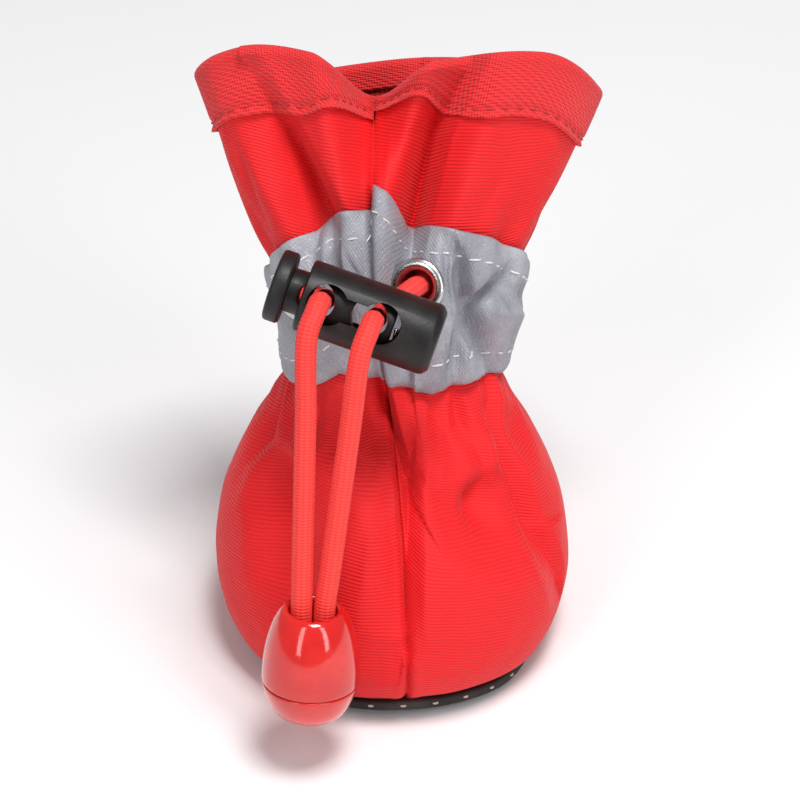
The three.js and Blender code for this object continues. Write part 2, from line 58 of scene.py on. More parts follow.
# Cord end: a hollow bell of clear red plastic over a pressed-in lid, and the melted knot of both
# strands that holds it on. The bell and lid are moulded, the knot is burnt nylon.
BELL_FOOT = Vector((-14.20, -35.60, 9.18))
BELL_UP = Vector((0.0599, 0.1389, 0.9885)).normalized()


class Signal:
    """A socket of a material. Sums, products and powers of signals add Math nodes."""

    def __init__(self, finish, socket):
        self.finish = finish
        self.socket = socket

    def math(self, operation, first, second):
        return self.finish.node("Math", {"operation": operation}, {0: first, 1: second})

    def __add__(self, other):
        return self.math("ADD", self, other)

    __radd__ = __add__

    def __mul__(self, other):
        return self.math("MULTIPLY", self, other)

    __rmul__ = __mul__

    def __sub__(self, other):
        return self.math("SUBTRACT", self, other)

    def __rsub__(self, other):
        return self.math("SUBTRACT", other, self)

    def __pow__(self, power):
        return self.math("POWER", self, power)

    def sine(self):
        return self.finish.node("Math", {"operation": "SINE"}, {0: self})

    def over(self, low, high):
        """The signal's way from low to high, as 0 to 1."""
        ends = {"Value": self, "From Min": low, "From Max": high}
        return self.finish.node("MapRange", {"interpolation_type": "SMOOTHSTEP"}, ends)


class Finish:
    """The material of a piece: it adds nodes and ends in one Principled shader."""

    def __init__(self, name):
        self.material = bpy.data.materials.new(name)
        self.material.use_nodes = True
        self.tree = self.material.node_tree
        self.tree.nodes.clear()

    def node(self, kind, settings=(), sockets=(), out=0):
        made = self.tree.nodes.new("ShaderNode" + kind)
        for key, value in dict(settings).items():
            if key == "stops":
                ramp = made.color_ramp.elements
                while len(ramp) < len(value):
                    ramp.new(0.5)
                for element, (place, color) in zip(ramp, value):
                    element.position = place
                    element.color = (*color, 1)
            else:
                setattr(made, key, value)
        for key, value in dict(sockets).items():
            if isinstance(value, Signal):
                self.tree.links.new(value.socket, made.inputs[key])
            else:
                made.inputs[key].default_value = value
        return Signal(self, made.outputs[out]) if made.outputs else None

    def place(self, stretch=(1, 1, 1)):
        """Object coordinates, stretched."""
        point = self.node("TexCoord", out=3)
        return self.node("Mapping", {}, {"Vector": point, "Scale": stretch})

    def noise(self, scale, detail=3.0, at=None, roughness=0.55):
        sockets = {"Scale": scale, "Detail": detail, "Roughness": roughness}
        sockets["Vector"] = at or self.place()
        return self.node("TexNoise", {}, sockets)

    def threads(self):
        """The piece's own cloth coordinates in millimetres: across and along."""
        point = self.node("UVMap", {"uv_map": "threads"})
        return (
            self.node("SeparateXYZ", {}, {"Vector": point}, 0),
            self.node("SeparateXYZ", {}, {"Vector": point}, 1),
        )

    def mix(self, share, first, second):
        """A colour between two colours."""
        colors = [c if isinstance(c, Signal) else (*c, 1) for c in (first, second)]
        sockets = {0: share, 6: colors[0], 7: colors[1]}
        return self.node("Mix", {"data_type": "RGBA"}, sockets, 2)

    def surface(self, color, roughness, height=None, relief=0.0001, **sockets):
        """Ends the material. Height is 0 to 1 and relief is what 1 stands for, in metres."""
        named = {key.replace("_", " "): value for key, value in sockets.items()}
        named |= {"Base Color": color, "Roughness": roughness}
        if height:
            bump = {"Height": height, "Distance": relief, "Strength": 1.0}
            named["Normal"] = self.node("Bump", {}, bump)
        shader = self.node("BsdfPrincipled", {}, named)
        self.node("OutputMaterial", {}, {"Surface": shader})
        return self.material


def selected_alone(piece):
    bpy.ops.object.select_all(action="DESELECT")
    piece.select_set(True)
    bpy.context.view_layer.objects.active = piece


def applied(piece, kind, **settings):
    """Adds a modifier to a piece and applies it."""
    selected_alone(piece)
    modifier = piece.modifiers.new(kind.lower(), kind)
    for key, value in settings.items():
        setattr(modifier, key, value)
    bpy.ops.object.modifier_apply(modifier=modifier.name)


def turned(name, rings, sides, hollow=False):
    """Draws a circle out along Z and changes its size, ring by ring, as on a lathe.
    Rings are (radius, height) in millimetres; a hollow one closes on its first ring."""
    bpy.ops.object.select_all(action="DESELECT")
    fill = "NOTHING" if hollow else "NGON"
    radius, height = rings[0]
    bpy.ops.mesh.primitive_circle_add(vertices=sides, radius=radius * MM, fill_type=fill)
    piece = bpy.context.object
    piece.name = name
    bpy.ops.object.mode_set(mode="EDIT")
    bpy.ops.mesh.select_mode(type="VERT")
    bpy.ops.mesh.select_all(action="SELECT")
    bpy.ops.transform.translate(value=(0, 0, height * MM))
    for next_radius, next_height in rings[1:]:
        rise = {"value": (0, 0, (next_height - height) * MM)}
        bpy.ops.mesh.extrude_region_move(TRANSFORM_OT_translate=rise)
        share = next_radius / radius
        bpy.ops.transform.resize(value=(share, share, 1), center_override=(0, 0, next_height * MM))
        radius, height = next_radius, next_height
    bpy.ops.object.mode_set(mode="OBJECT")
    return closed(piece, weld=1e-6)


def closed(piece, weld=0, fill=False):
    """Welds doubled points and fills open ends where asked, and turns all faces outwards."""
    selected_alone(piece)
    bpy.ops.object.mode_set(mode="EDIT")
    bpy.ops.mesh.select_all(action="SELECT")
    if weld:
        bpy.ops.mesh.remove_doubles(threshold=weld)
    if fill:
        bpy.ops.mesh.fill_holes(sides=0)
    bpy.ops.mesh.normals_make_consistent(inside=False)
    bpy.ops.object.mode_set(mode="OBJECT")
    return piece


def rounded(piece, width, segments=3, angle=28):
    """Rounds the hard edges of a moulded or stamped piece and shades it smooth."""
    applied(
        piece, "BEVEL", width=width * MM, segments=segments, limit_method="ANGLE",
        angle_limit=math.radians(angle), use_clamp_overlap=True,
    )
    selected_alone(piece)
    bpy.ops.object.shade_smooth_by_angle(angle=math.radians(40))


def settle(piece, at, up, side=None):
    """Moves a piece's mesh so that its Z runs along up, from a point in millimetres."""
    z = Vector(up).normalized()
    x = Vector(side) if side else z.orthogonal()
    x = (x - z * x.dot(z)).normalized()
    turn = Matrix((x, z.cross(x), z)).transposed().to_4x4()
    piece.data.transform(Matrix.Translation(Vector(at) * MM) @ turn)
    piece.data.update()


def wear(piece, material, body="bootie", nodes=()):
    """Gives a piece its material, its body and the nodes that it stands for."""
    piece.data.materials.clear()
    piece.data.materials.append(material)
    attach(piece, body)
    if nodes:
        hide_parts(*nodes)


bell_rings = [
    (6.05, 5.6), (6.75, 5.57), (6.95, 5.8), (6.97, 6.8), (6.93, 8.2), (6.8, 9.6), (6.6, 11.0),
    (6.35, 12.3), (6.0, 13.6), (5.6, 14.8), (5.15, 15.8), (4.75, 16.45), (4.35, 16.9),
    (3.95, 17.05), (3.6, 16.95), (3.45, 16.5), (3.45, 12.6), (4.9, 10.6), (6.0, 8.0), (6.05, 5.6),
]
bell_cup = turned("bell_cup", bell_rings, 72, hollow=True)
lid_rings = [
    (2.1, 0.1), (3.4, 0.0), (4.5, 0.42), (5.35, 1.2), (5.95, 2.3), (6.45, 3.6), (6.82, 4.9),
    (6.88, 5.25), (6.75, 5.48), (5.75, 5.5), (5.7, 6.7), (2.1, 6.75), (2.1, 0.1),
]
bell_lid = turned("bell_lid", lid_rings, 72, hollow=True)
for part in (bell_cup, bell_lid):
    rounded(part, 0.12, 2)
knot_rings = [
    (0.4, -1.45), (0.95, -1.3), (1.5, -0.85), (1.75, -0.2), (1.72, 0.35), (1.6, 0.9),
    (1.55, 3.0), (1.5, 5.4), (1.2, 6.2), (0.5, 6.35),
]
melted_knot = turned("melted_knot", knot_rings, 40)
applied(melted_knot, "SUBSURF", levels=2, render_levels=2)
melt = bpy.data.textures.new("melt", "CLOUDS")
melt.noise_scale = 0.0012
applied(melted_knot, "DISPLACE", texture=melt, strength=0.7 * MM, mid_level=0.5,
        texture_coords="LOCAL")
selected_alone(melted_knot)
bpy.ops.object.shade_smooth()
for part in (bell_cup, bell_lid, melted_knot):
    settle(part, BELL_FOOT, BELL_UP)


def bell_plastic():
    finish = Finish("clear_red_plastic")
    cloud = finish.noise(160, 3)
    rub = finish.noise(900, 2, finish.place((1, 1, 0.25)))
    color = finish.mix(cloud.over(0.35, 0.7), (0.74, 0.010, 0.008), (0.86, 0.022, 0.014))
    gloss = 0.13 + 0.12 * rub.over(0.55, 0.8)
    return finish.surface(
        color, gloss, cloud * 0.7 + rub * 0.3, 0.00005, Transmission_Weight=0.18, IOR=1.49,
        Coat_Weight=0.6, Coat_Roughness=0.06, Subsurface_Weight=0.35, Subsurface_Scale=0.003,
        Subsurface_Radius=(1.0, 0.2, 0.1), Specular_IOR_Level=0.6,
    )


def melted_nylon():
    finish = Finish("melted_nylon")
    lumps = finish.noise(1300, 4)
    color = finish.mix(lumps.over(0.3, 0.7), (0.50, 0.012, 0.006), (0.85, 0.07, 0.03))
    return finish.surface(color, 0.5 - 0.2 * lumps, lumps, 0.0002, Specular_IOR_Level=0.5)


clear_red = bell_plastic()
wear(bell_cup, clear_red, nodes=["cord_end"])
wear(bell_lid, clear_red, nodes=["cord_end_lid"])
wear(melted_knot, melted_nylon(), nodes=["cord_knot"])

# Drawcord: two strands of round red elastic, braided, that leave the tunnel at the eyelets, run
# under the cord lock and out through it, and hang down over the toe into the cord end.
CORD_RADIUS = 1.5
FULL_TURN = 6.2832
ROUTES = {
    "left": [
        (-11.77, -0.70, 58.74), (-13.02, -2.95, 59.11), (-13.53, -4.23, 59.39),
        (-12.25, -6.64, 60.72), (-9.78, -8.33, 61.93), (-10.05, -10.50, 63.15),
        (-10.74, -16.15, 66.33), (-11.11, -19.16, 68.03), (-11.83, -21.27, 67.61),
        (-12.94, -23.02, 65.49), (-13.50, -25.99, 54.02), (-14.12, -29.31, 41.16),
        (-14.63, -32.01, 30.73), (-14.83, -33.15, 26.58), (-15.13, -33.86, 21.54),
    ],
    "right": [
        (4.25, -2.55, 60.04), (3.36, -4.73, 61.16), (2.75, -5.99, 61.68),
        (0.43, -8.50, 61.35), (-2.60, -10.38, 59.86), (-2.86, -12.54, 61.08),
        (-3.56, -18.20, 64.26), (-3.93, -21.21, 65.95), (-4.65, -23.32, 65.54),
        (-5.76, -25.07, 63.42), (-7.43, -27.44, 52.55), (-9.30, -30.10, 40.36),
        (-10.82, -32.26, 30.48), (-11.48, -33.15, 26.58), (-11.78, -33.86, 21.54),
    ],
}
EYELETS = {
    "left": (Vector((-12.58, -2.17, 58.98)), Vector((-0.48, -0.87, 0.14)).normalized()),
    "right": (Vector((3.67, -3.97, 60.77)), Vector((-0.34, -0.84, 0.43)).normalized()),
}


def route_line(points, per_span=60):
    """A smooth line through a strand's points, as the cord lies."""
    p = np.array(points, float)
    p = np.vstack([2 * p[0] - p[1], p, 2 * p[-1] - p[-2]])
    line = []
    for i in range(1, len(p) - 2):
        a, b, c, d = p[i - 1:i + 3]
        d0, d1, d2 = (np.linalg.norm(v) ** 0.5 for v in (b - a, c - b, d - c))
        leave = ((b - a) / d0 - (c - a) / (d0 + d1) + (c - b) / d1) * d1
        reach = ((c - b) / d1 - (d - b) / (d1 + d2) + (d - c) / d2) * d1
        t = np.linspace(0, 1, per_span, endpoint=i == len(p) - 3)[:, None]
        line.append(
            b + leave * t + (3 * (c - b) - 2 * leave - reach) * t**2
            + (2 * (b - c) + leave + reach) * t**3
        )
    line = np.vstack(line)
    run = np.concatenate([[0], np.cumsum(np.linalg.norm(np.diff(line, axis=0), axis=1))])
    even = np.linspace(0, run[-1], int(run[-1] / 0.16))
    return np.stack([np.interp(even, run, line[:, k]) for k in range(3)], 1), run[-1]


def linked(name, mesh):
    """A piece of a mesh, shaded smooth and put in the scene."""
    mesh.polygons.foreach_set("use_smooth", np.ones(len(mesh.polygons), bool))
    piece = bpy.data.objects.new(name, mesh)
    bpy.context.scene.collection.objects.link(piece)
    return piece


def cloth_mesh(name, rows, across, along, loop_rows=True, loop_columns=True):
    """A mesh of four-sided faces from rows of points in millimetres, with its own map in
    millimetres. Across and along may have one column more than the points, for the last face."""
    count, wide = rows.shape[:2]
    index = np.arange(count * wide).reshape(count, wide)
    i = np.arange(count if loop_rows else count - 1)
    j = np.arange(wide if loop_columns else wide - 1)
    corners = [(0, 0), (0, 1), (1, 1), (1, 0)]
    faces = np.stack(
        [index[np.ix_((i + r) % count, (j + c) % wide)] for r, c in corners], -1
    ).reshape(-1, 4)
    mesh = bpy.data.meshes.new(name)
    mesh.from_pydata((rows.reshape(-1, 3) * MM).tolist(), [], faces.tolist())
    threads = mesh.uv_layers.new(name="threads")
    spots = []
    for r, c in corners:
        row = np.minimum(i + r, count - 1)
        column = j + c if across.shape[1] > wide else (j + c) % wide
        spots.append(np.stack([across[np.ix_(row, column)], along[np.ix_(row, column)]], -1))
    threads.data.foreach_set("uv", np.stack(spots, 2).astype(np.float32).ravel())
    return linked(name, mesh)


def braided(name, line):
    """A round braided cord along a line: its threads stand a little proud of the core."""
    ahead = np.gradient(line, axis=0)
    ahead /= np.linalg.norm(ahead, axis=1)[:, None]
    side = np.cross(ahead[0], (0, 0, 1.0))
    sides = []
    for direction in ahead:
        side = side - direction * side.dot(direction)
        side = side / np.linalg.norm(side)
        sides.append(side)
    sides = np.array(sides)
    ups = np.cross(ahead, sides)
    round_count = 36
    turn = 2 * np.pi * np.arange(round_count) / round_count
    run = np.arange(len(line)) * np.linalg.norm(np.diff(line, axis=0), axis=1).mean()
    lay = 2 * np.pi * run[:, None] / 1.9
    weave = np.sin(4 * turn + 2 * lay) * np.sin(4 * turn - 2 * lay)
    rib = np.cos(2 * turn + 0.5)
    radius = CORD_RADIUS - 0.07 + 0.06 * weave + 0.05 * rib
    rows = (
        line[:, None, :] + (radius * np.cos(turn))[..., None] * sides[:, None, :]
        + (radius * np.sin(turn))[..., None] * ups[:, None, :]
    )
    across = np.broadcast_to(np.arange(round_count + 1) / round_count, (len(line), round_count + 1))
    along = np.broadcast_to(run[:, None], across.shape)
    return closed(cloth_mesh(name, rows, across, along, loop_rows=False), fill=True)


def elastic_braid():
    finish = Finish("red_elastic_braid")
    across, along = finish.threads()
    steep = FULL_TURN / 0.95
    left = (across * (FULL_TURN * 5) + along * steep).sine()
    right = (across * (FULL_TURN * 5) - along * steep).sine()
    weave = (left * right * 0.5 + 0.5).over(0.1, 0.9)
    fuzz = finish.noise(2500, 2)
    dark = (across * (FULL_TURN * 2)).sine() * 0.5 + 0.5
    shade = weave * 0.6 + fuzz * 0.2 + dark * 0.2
    color = finish.mix(shade.over(0.0, 0.8), (0.80, 0.022, 0.019), (0.96, 0.052, 0.040))
    return finish.surface(
        color, 0.62 + 0.2 * fuzz, weave + fuzz * 0.3, 0.00006, Sheen_Weight=0.2,
        Sheen_Roughness=0.4, Sheen_Tint=(1, 0.45, 0.4, 1),
    )


braid = elastic_braid()
for hand, points in ROUTES.items():
    line, length = route_line(points)
    strand = braided("drawcord_" + hand, line)
    wear(strand, braid, nodes=["cord_" + hand])

# Outsole: a flat black rubber sole with a rounded edge and a moulded grip of bars below, sewn to
# the upper all round with a light thread that shows as small dots on its edge.
SOLE = {"length": 54, "width": 44, "thick": 2.15, "square": 2.3}
TIP = {"rise": 1.1, "length": 8}


def smooth(x):
    x = np.clip(x, 0, 1)
    return x * x * (3 - 2 * x)


def tip_rise(y):
    return TIP["rise"] * smooth((np.abs(y) - (SOLE["length"] / 2 - TIP["length"])) / TIP["length"])


def outline_point(turn, inset):
    power = 2 / SOLE["square"]
    s, c = np.sin(turn), np.cos(turn)
    x = (SOLE["width"] / 2 - inset) * np.sign(s) * np.abs(s) ** power
    y = -(SOLE["length"] / 2 - inset) * np.sign(c) * np.abs(c) ** power
    return x, y


def plate(name, inset, low, high, edge, sides=180):
    """A plate of the sole's outline: a disc drawn up in edit mode, pulled to the outline, its
    edges bevelled and its faces inset, then bent up at toe and heel with the sole."""
    bpy.ops.object.select_all(action="DESELECT")
    bpy.ops.mesh.primitive_circle_add(vertices=sides, radius=1, fill_type="NGON")
    piece = bpy.context.object
    piece.name = name
    for v in piece.data.vertices:
        x, y = outline_point(math.atan2(v.co.x, -v.co.y), inset)
        v.co = (x * MM, y * MM, low * MM)
    bpy.ops.object.mode_set(mode="EDIT")
    bpy.ops.mesh.select_all(action="SELECT")
    up = {"value": (0, 0, (high - low) * MM)}
    bpy.ops.mesh.extrude_region_move(TRANSFORM_OT_translate=up)
    bpy.ops.object.mode_set(mode="OBJECT")
    closed(piece)
    applied(piece, "BEVEL", width=edge * MM, segments=4, limit_method="ANGLE",
            angle_limit=math.radians(50))
    bpy.ops.object.mode_set(mode="EDIT")
    bpy.ops.mesh.select_mode(type="FACE")
    for step in (1.5, 2.5, 3.5, 4.0):
        bpy.ops.mesh.select_all(action="DESELECT")
        bpy.ops.object.mode_set(mode="OBJECT")
        for face in piece.data.polygons:
            face.select = len(face.vertices) > 12
        bpy.ops.object.mode_set(mode="EDIT")
        bpy.ops.mesh.inset(thickness=step * MM, depth=0, use_individual=True)
    bpy.ops.object.mode_set(mode="OBJECT")
    for v in piece.data.vertices:
        v.co.z += tip_rise(v.co.y / MM) * MM
    selected_alone(piece)
    bpy.ops.object.shade_smooth_by_angle(angle=math.radians(40))
    return piece


tread_sole = plate("tread_sole", 0, 0.5, SOLE["thick"], 0.45)
bpy.ops.object.select_all(action="DESELECT")
bpy.ops.mesh.primitive_cube_add(size=1)
bar = bpy.context.object
bar.scale = (5.4 * MM, 1.5 * MM, 0.9 * MM)
bpy.ops.object.transform_apply(scale=True)
applied(bar, "BEVEL", width=0.22 * MM, segments=2)
grips = [bar]
for row in range(-7, 8):
    for column in range(-3, 4):
        x = column * 6.6 + (3.3 if row % 2 else 0)
        y = row * 3.3
        if (abs(x) / 17.6) ** 2.3 + (abs(y) / 24.6) ** 2.3 > 1:
            continue
        copy = bpy.data.objects.new("grip", bar.data.copy())
        bpy.context.scene.collection.objects.link(copy)
        slant = Matrix.Rotation(math.radians(24 if row % 2 else -24), 4, "Z")
        spot = Matrix.Translation((x * MM, y * MM, (0.45 + tip_rise(y)) * MM))
        copy.data.transform(spot @ slant)
        grips.append(copy)
bpy.data.objects.remove(grips.pop(0))
selected_alone(tread_sole)
for grip in grips:
    grip.select_set(True)
bpy.ops.object.join()
selected_alone(tread_sole)
bpy.ops.object.shade_smooth_by_angle(angle=math.radians(40))


def grip_rubber():
    finish = Finish("black_grip_rubber")
    grain = finish.noise(1500, 4)
    dust = finish.noise(120, 3)
    color = finish.mix(dust.over(0.45, 0.8), (0.016, 0.014, 0.013), (0.05, 0.042, 0.036))
    rough = 0.62 + 0.25 * grain
    return finish.surface(color, rough, grain, 0.00012, Specular_IOR_Level=0.4)


wear(tread_sole, grip_rubber(), nodes=["outsole"])

# Insole: a thin red felt board that lies inside on the seam allowance, slightly crowned and
# pressed down by wear in one broad spot just behind its middle.
felt_insole = plate("felt_insole", 2.6, 2.7, 3.8, 0.4, 120)
for v in felt_insole.data.vertices:
    x, y = v.co.x / MM, v.co.y / MM
    if v.co.z > 3.2 * MM:
        crown = 0.12 * math.sin(x * 0.5) * math.cos(y * 0.4)
        worn = 0.15 * math.exp(-(x * x + (y - 6) ** 2) / 90)
        v.co.z += (crown - worn) * MM


def red_felt():
    finish = Finish("red_felt")
    hair = finish.noise(3000, 5)
    patch = finish.noise(200, 2)
    color = finish.mix(hair * 0.6 + patch * 0.4, (0.22, 0.008, 0.008), (0.5, 0.02, 0.02))
    return finish.surface(color, 0.95, hair, 0.0002, Sheen_Weight=0.3)


wear(felt_insole, red_felt(), nodes=["insole"])

# Upper, outer shell: two halves of red ribbed nylon, sewn together down the front and the back
# and gathered at the ankle. It is soft, so it stands in folds; its ribs run round the leg.
# Loops of the upper from the sole seam up, in millimetres and degrees: height, set back, tilt,
# half width, half depth, turn and sideways shift. A station counts the loops from the seam.
LOOPS = np.array([
    (2.55, 0.00, 0, 21.00, 26.00, 0, 0.00),
    (5.00, -0.22, 0, 24.87, 28.14, 1, 0.00),
    (11.99, -0.70, 0, 26.60, 29.51, 1, 0.00),
    (21.01, -0.22, 0, 25.59, 28.88, 1, 0.00),
    (28.82, 1.04, 1, 22.48, 25.99, 0, 0.15),
    (35.19, 2.82, 3, 18.75, 20.94, -3, 0.44),
    (41.21, 5.27, 6, 15.96, 13.74, -7, 0.73),
    (51.00, 7.00, 27, 15.20, 12.50, -12, 1.02),
    (56.89, 8.38, 32, 18.27, 12.36, -13, 1.31),
    (63.40, 10.22, 35, 21.32, 12.36, -12, 1.60),
    (69.60, 12.75, 34, 24.07, 12.24, -11, 1.89),
    (75.80, 15.51, 32, 26.39, 12.12, -10, 2.18),
    (82.00, 18.50, 30, 29.00, 12.00, -9, 2.47),
])
RIM = 12.0
# Long folds pushed in: angle at the foot and drift to the top, half width, depth, and the
# stations where each starts, is full, holds and ends.
FOLDS = [
    (0, 0, 18, 10.2, 9.2, 12.6, 13, 14),
    (13, 14, 15, 4.56, 5.8, 8.4, 10, 13.6),
    (-24, -4, 17, 2.4, 6.6, 9, 11, 13.5),
    (66, 0, 16, 1.92, 5.6, 7.4, 8, 10.5),
    (-68, 0, 16, 1.92, 5.6, 7.4, 8, 10.5),
    (176, 4, 22, 3.6, 5.8, 8.5, 11, 14),
    (132, 0, 18, 2.16, 5.2, 7.5, 8.5, 11.5),
    (-130, 0, 18, 2.16, 5.2, 7.5, 8.5, 11.5),
    (8, 2, 9, 1.2, 3.6, 4.8, 5.6, 7),
]
# Dents of the slack toe and heel: angle, station, half width, half span, depth.
DENTS = [
    (-58, 4.2, 20, 0.85, 5.0),
    (-46, 3.3, 20, 0.8, 2.6),
    (44, 4.15, 18, 0.75, 3.6),
    (74, 4.9, 16, 0.9, 1.6),
    (-84, 4.8, 18, 0.9, 1.6),
    (150, 4.2, 28, 1.2, 2.13),
]
# Creases pressed in: points as (angle, station), half width and depth in millimetres,
# and how much steeper the side towards larger angles is.
CREASES = [
    ([(17, 6.9), (19, 8.3), (22, 9.2), (24, 10.6), (27, 11.2), (30, 12)], 9.5, 7.6, 5.5),
    ([(-1, 7.4), (-1.5, 8.6), (-1, 9.8), (-1, 11), (-1, 12)], 4.4, 3.2, 1.6),
    ([(-12, 8.5), (-18, 9.0), (-28, 10.0), (-38, 10.9), (-42, 11.6)], 8.0, 5.2, 2.2),
    ([(-52, 8.4), (-58, 9.4), (-60, 10.6)], 4.0, 0.9, 1.0),
    ([(44, 8.6), (50, 9.6), (52, 10.8)], 4.6, 0.9, 0.6),
    ([(-5, 6.5), (-1, 5.9), (1, 5.4), (3, 5.0), (6, 4.7)], 8.5, 5.6, 3.2),
    ([(12, 4.9), (20, 4.5), (30, 4.15), (44, 3.7), (58, 3.4)], 6.0, 4.4, 0.6),
    ([(9, 4.9), (6, 4.45), (3, 4.0), (1, 3.5), (-1, 2.4)], 6.5, 4.2, 2.8),
    ([(-36, 5.25), (-26, 5.35), (-15, 5.1)], 3.0, 1.8, 2.4),
    ([(-24, 5.0), (-12, 4.9), (-3, 4.8)], 3.0, 1.5, 0.8),
    ([(74, 6.2), (68, 5.5), (64, 4.8), (63, 4.0), (62, 3.2), (67, 2.2)], 5.0, 3.2, 3.2),
    ([(22, 6.0), (34, 5.5), (48, 5.4)], 5.6, 2.6, 0.6),
    ([(40, 6.1), (47, 5.2), (50, 4.6)], 3.6, 1.8, 1.6),
    ([(-40, 6.1), (-44, 5.3), (-47, 4.6)], 4.0, 1.6, 1.4),
    ([(-58, 4.6), (-46, 3.8), (-40, 3.2)], 8.5, 2.6, 1.0),
    ([(-14, 6.1), (-11, 5.6), (-10, 5.2)], 3.0, 1.2, 1.4),
    ([(-84, 6.4), (-80, 5.2), (-84, 4.0)], 3.4, 1.2, 1.0),
    ([(-104, 6.2), (-110, 5.0), (-106, 3.6)], 3.4, 1.1, 1.4),
    ([(98, 6.3), (104, 5.2), (100, 4.0)], 3.4, 1.2, 1.0),
    ([(122, 6.2), (128, 5.2), (122, 3.8)], 3.8, 1.2, 0.8),
    ([(168, 6.2), (160, 5.0), (164, 3.6)], 4.0, 1.3, 1.0),
    ([(-150, 6.2), (-146, 5.0), (-152, 3.6)], 4.0, 1.2, 1.2),
    ([(-168, 6.1), (-176, 5.2), (-172, 4.6)], 3.0, 0.8, 1.0),
    ([(96, 8.2), (104, 9.4), (112, 10.8)], 4.6, 1.3, 1.4),
    ([(-96, 8.2), (-104, 9.6), (-100, 11)], 4.6, 1.3, 0.8),
    ([(150, 8.0), (156, 9.4), (150, 10.8)], 4.2, 1.2, 1.0),
    ([(-154, 8.0), (-150, 9.6), (-160, 11)], 4.4, 1.3, 1.2),
    ([(38, 8.2), (45, 7.5), (52, 7.0)], 4.6, 3.4, 2.0),
    ([(52, 7.0), (62, 7.5), (74, 7.7)], 4.2, 3.2, 1.4),
    ([(52, 7.0), (58, 6.6), (68, 6.3)], 4.0, 3.0, 1.4),
    ([(52, 7.0), (45, 6.7), (38, 6.4)], 3.8, 2.8, 1.2),
]
GATHER = {"count": 11, "deep": 1.06, "start": 5.5, "end": 8.8}
MM_PER_DEGREE = 0.4
MM_PER_STATION = 6.6


def loop_at(station):
    """The loops' columns at any station, on a smooth curve through the rows."""
    last = len(LOOPS) - 1
    i = np.clip(np.floor(station).astype(int), 0, last - 1)
    t = (station - i)[..., None]
    a, b = LOOPS[i], LOOPS[i + 1]
    leave = (b - LOOPS[np.maximum(i - 1, 0)]) / 2
    reach = (LOOPS[np.minimum(i + 2, last)] - a) / 2
    columns = (
        (2 * t**3 - 3 * t**2 + 1) * a + (t**3 - 2 * t**2 + t) * leave
        + (3 * t**2 - 2 * t**3) * b + (t**3 - t**2) * reach
    )
    return np.moveaxis(columns, -1, 0)


def hump(x):
    return np.where(np.abs(x) < 1, (1 + np.cos(np.pi * np.clip(x, -1, 1))) / 2, 0)


def wrapped(angle):
    return (angle + 180) % 360 - 180


def crease(angle, station, points, half, deep, steep):
    """How deep one listed crease is at each point of the cloth."""
    runs = np.array(points, float)
    x = wrapped(angle - runs[0, 0]) * MM_PER_DEGREE
    y = (station - runs[0, 1]) * MM_PER_STATION
    bend = np.stack([wrapped(runs[:, 0] - runs[0, 0]), runs[:, 1] - runs[0, 1]], 1)
    bend = bend * (MM_PER_DEGREE, MM_PER_STATION)
    steps = np.linalg.norm(np.diff(bend, axis=0), axis=1)
    total = steps.sum()
    best = np.full(x.shape, 1e9)
    place = np.zeros(x.shape)
    before = 0.0
    for (ax, ay), (bx, by), step in zip(bend[:-1], bend[1:], steps):
        t = np.clip(((x - ax) * (bx - ax) + (y - ay) * (by - ay)) / step**2, 0, 1)
        dx, dy = x - ax - t * (bx - ax), y - ay - t * (by - ay)
        rightward = (dx * (by - ay) - dy * (bx - ax)) * (1 if by > ay else -1)
        reach = np.hypot(dx, dy) * np.where(rightward > 0, steep, 1)
        near = reach < best
        best = np.where(near, reach, best)
        place = np.where(near, (before + t * step) / total, place)
        before += step
    side = np.clip(1 - best / half, 0, 1)
    ends = np.sin(np.pi * np.clip(place, 0.04, 0.96)) ** 0.45
    return deep * side**1.5 * (1.5 - 0.5 * side) * ends


def pushed_in(angle, station, creased=1.0):
    """Depth of the long folds, dents, gathers and creases, in millimetres."""
    depth = np.zeros(np.broadcast(angle, station).shape)
    for at, lean, half, deep, start, full, hold, end in FOLDS:
        share = smooth((station - start) / (full - start))
        share = share * (1 - smooth((station - hold) / (end - hold)))
        middle = at + lean * ((station - start) / (RIM - start))
        depth += deep * share * hump(wrapped(angle - middle) / half)
    for at, level, half, span, deep in DENTS:
        depth += deep * hump(wrapped(angle - at) / half) * hump((station - level) / span)
    around = (1 - np.cos(np.radians(angle * GATHER["count"]))) / 2
    middle = (GATHER["start"] + GATHER["end"]) / 2
    depth += GATHER["deep"] * around * hump((station - middle) / (GATHER["end"] - middle))
    if creased:
        for points, half, deep, steep in CREASES:
            depth += creased * crease(angle, station, points, half, deep, steep)
    return depth


def rim_lift(angle, station):
    """How far the collar's rim rises and falls: two lobes in front, and the notch between."""
    waves = [
        (-38, 52, 4.8), (42, 50, 2.4), (0, 18, -4.8), (98, 46, -3.6), (-92, 46, 1.44),
        (180, 60, 2.64),
    ]
    share = smooth((station - 9) / (RIM - 9))
    return sum(rise * share * hump(wrapped(angle - at) / half) for at, half, rise in waves)


def face_point(angle, station, depth=0.0):
    """A point on the shell's outer face at an angle from the front seam and a station."""
    here = np.minimum(station, RIM)
    z, y, tilt, wide, deep, turn, side = loop_at(here)
    turned_by = np.radians(angle + turn)
    square = SOLE["square"] + (2 - SOLE["square"]) * smooth(here / 3)
    s, c = np.sin(turned_by), np.cos(turned_by)
    x = wide * np.sign(s) * np.abs(s) ** (2 / square)
    flat = -deep * np.sign(c) * np.abs(c) ** (2 / square)
    out_x, out_y = x / wide**2, flat / deep**2
    length = np.hypot(out_x, out_y)
    x = x - depth * out_x / length
    flat = flat - depth * out_y / length
    lean = np.radians(tilt)
    return np.stack(
        [x + side, y + flat * np.cos(lean), z - flat * np.sin(lean) + rim_lift(angle, here)], -1
    )


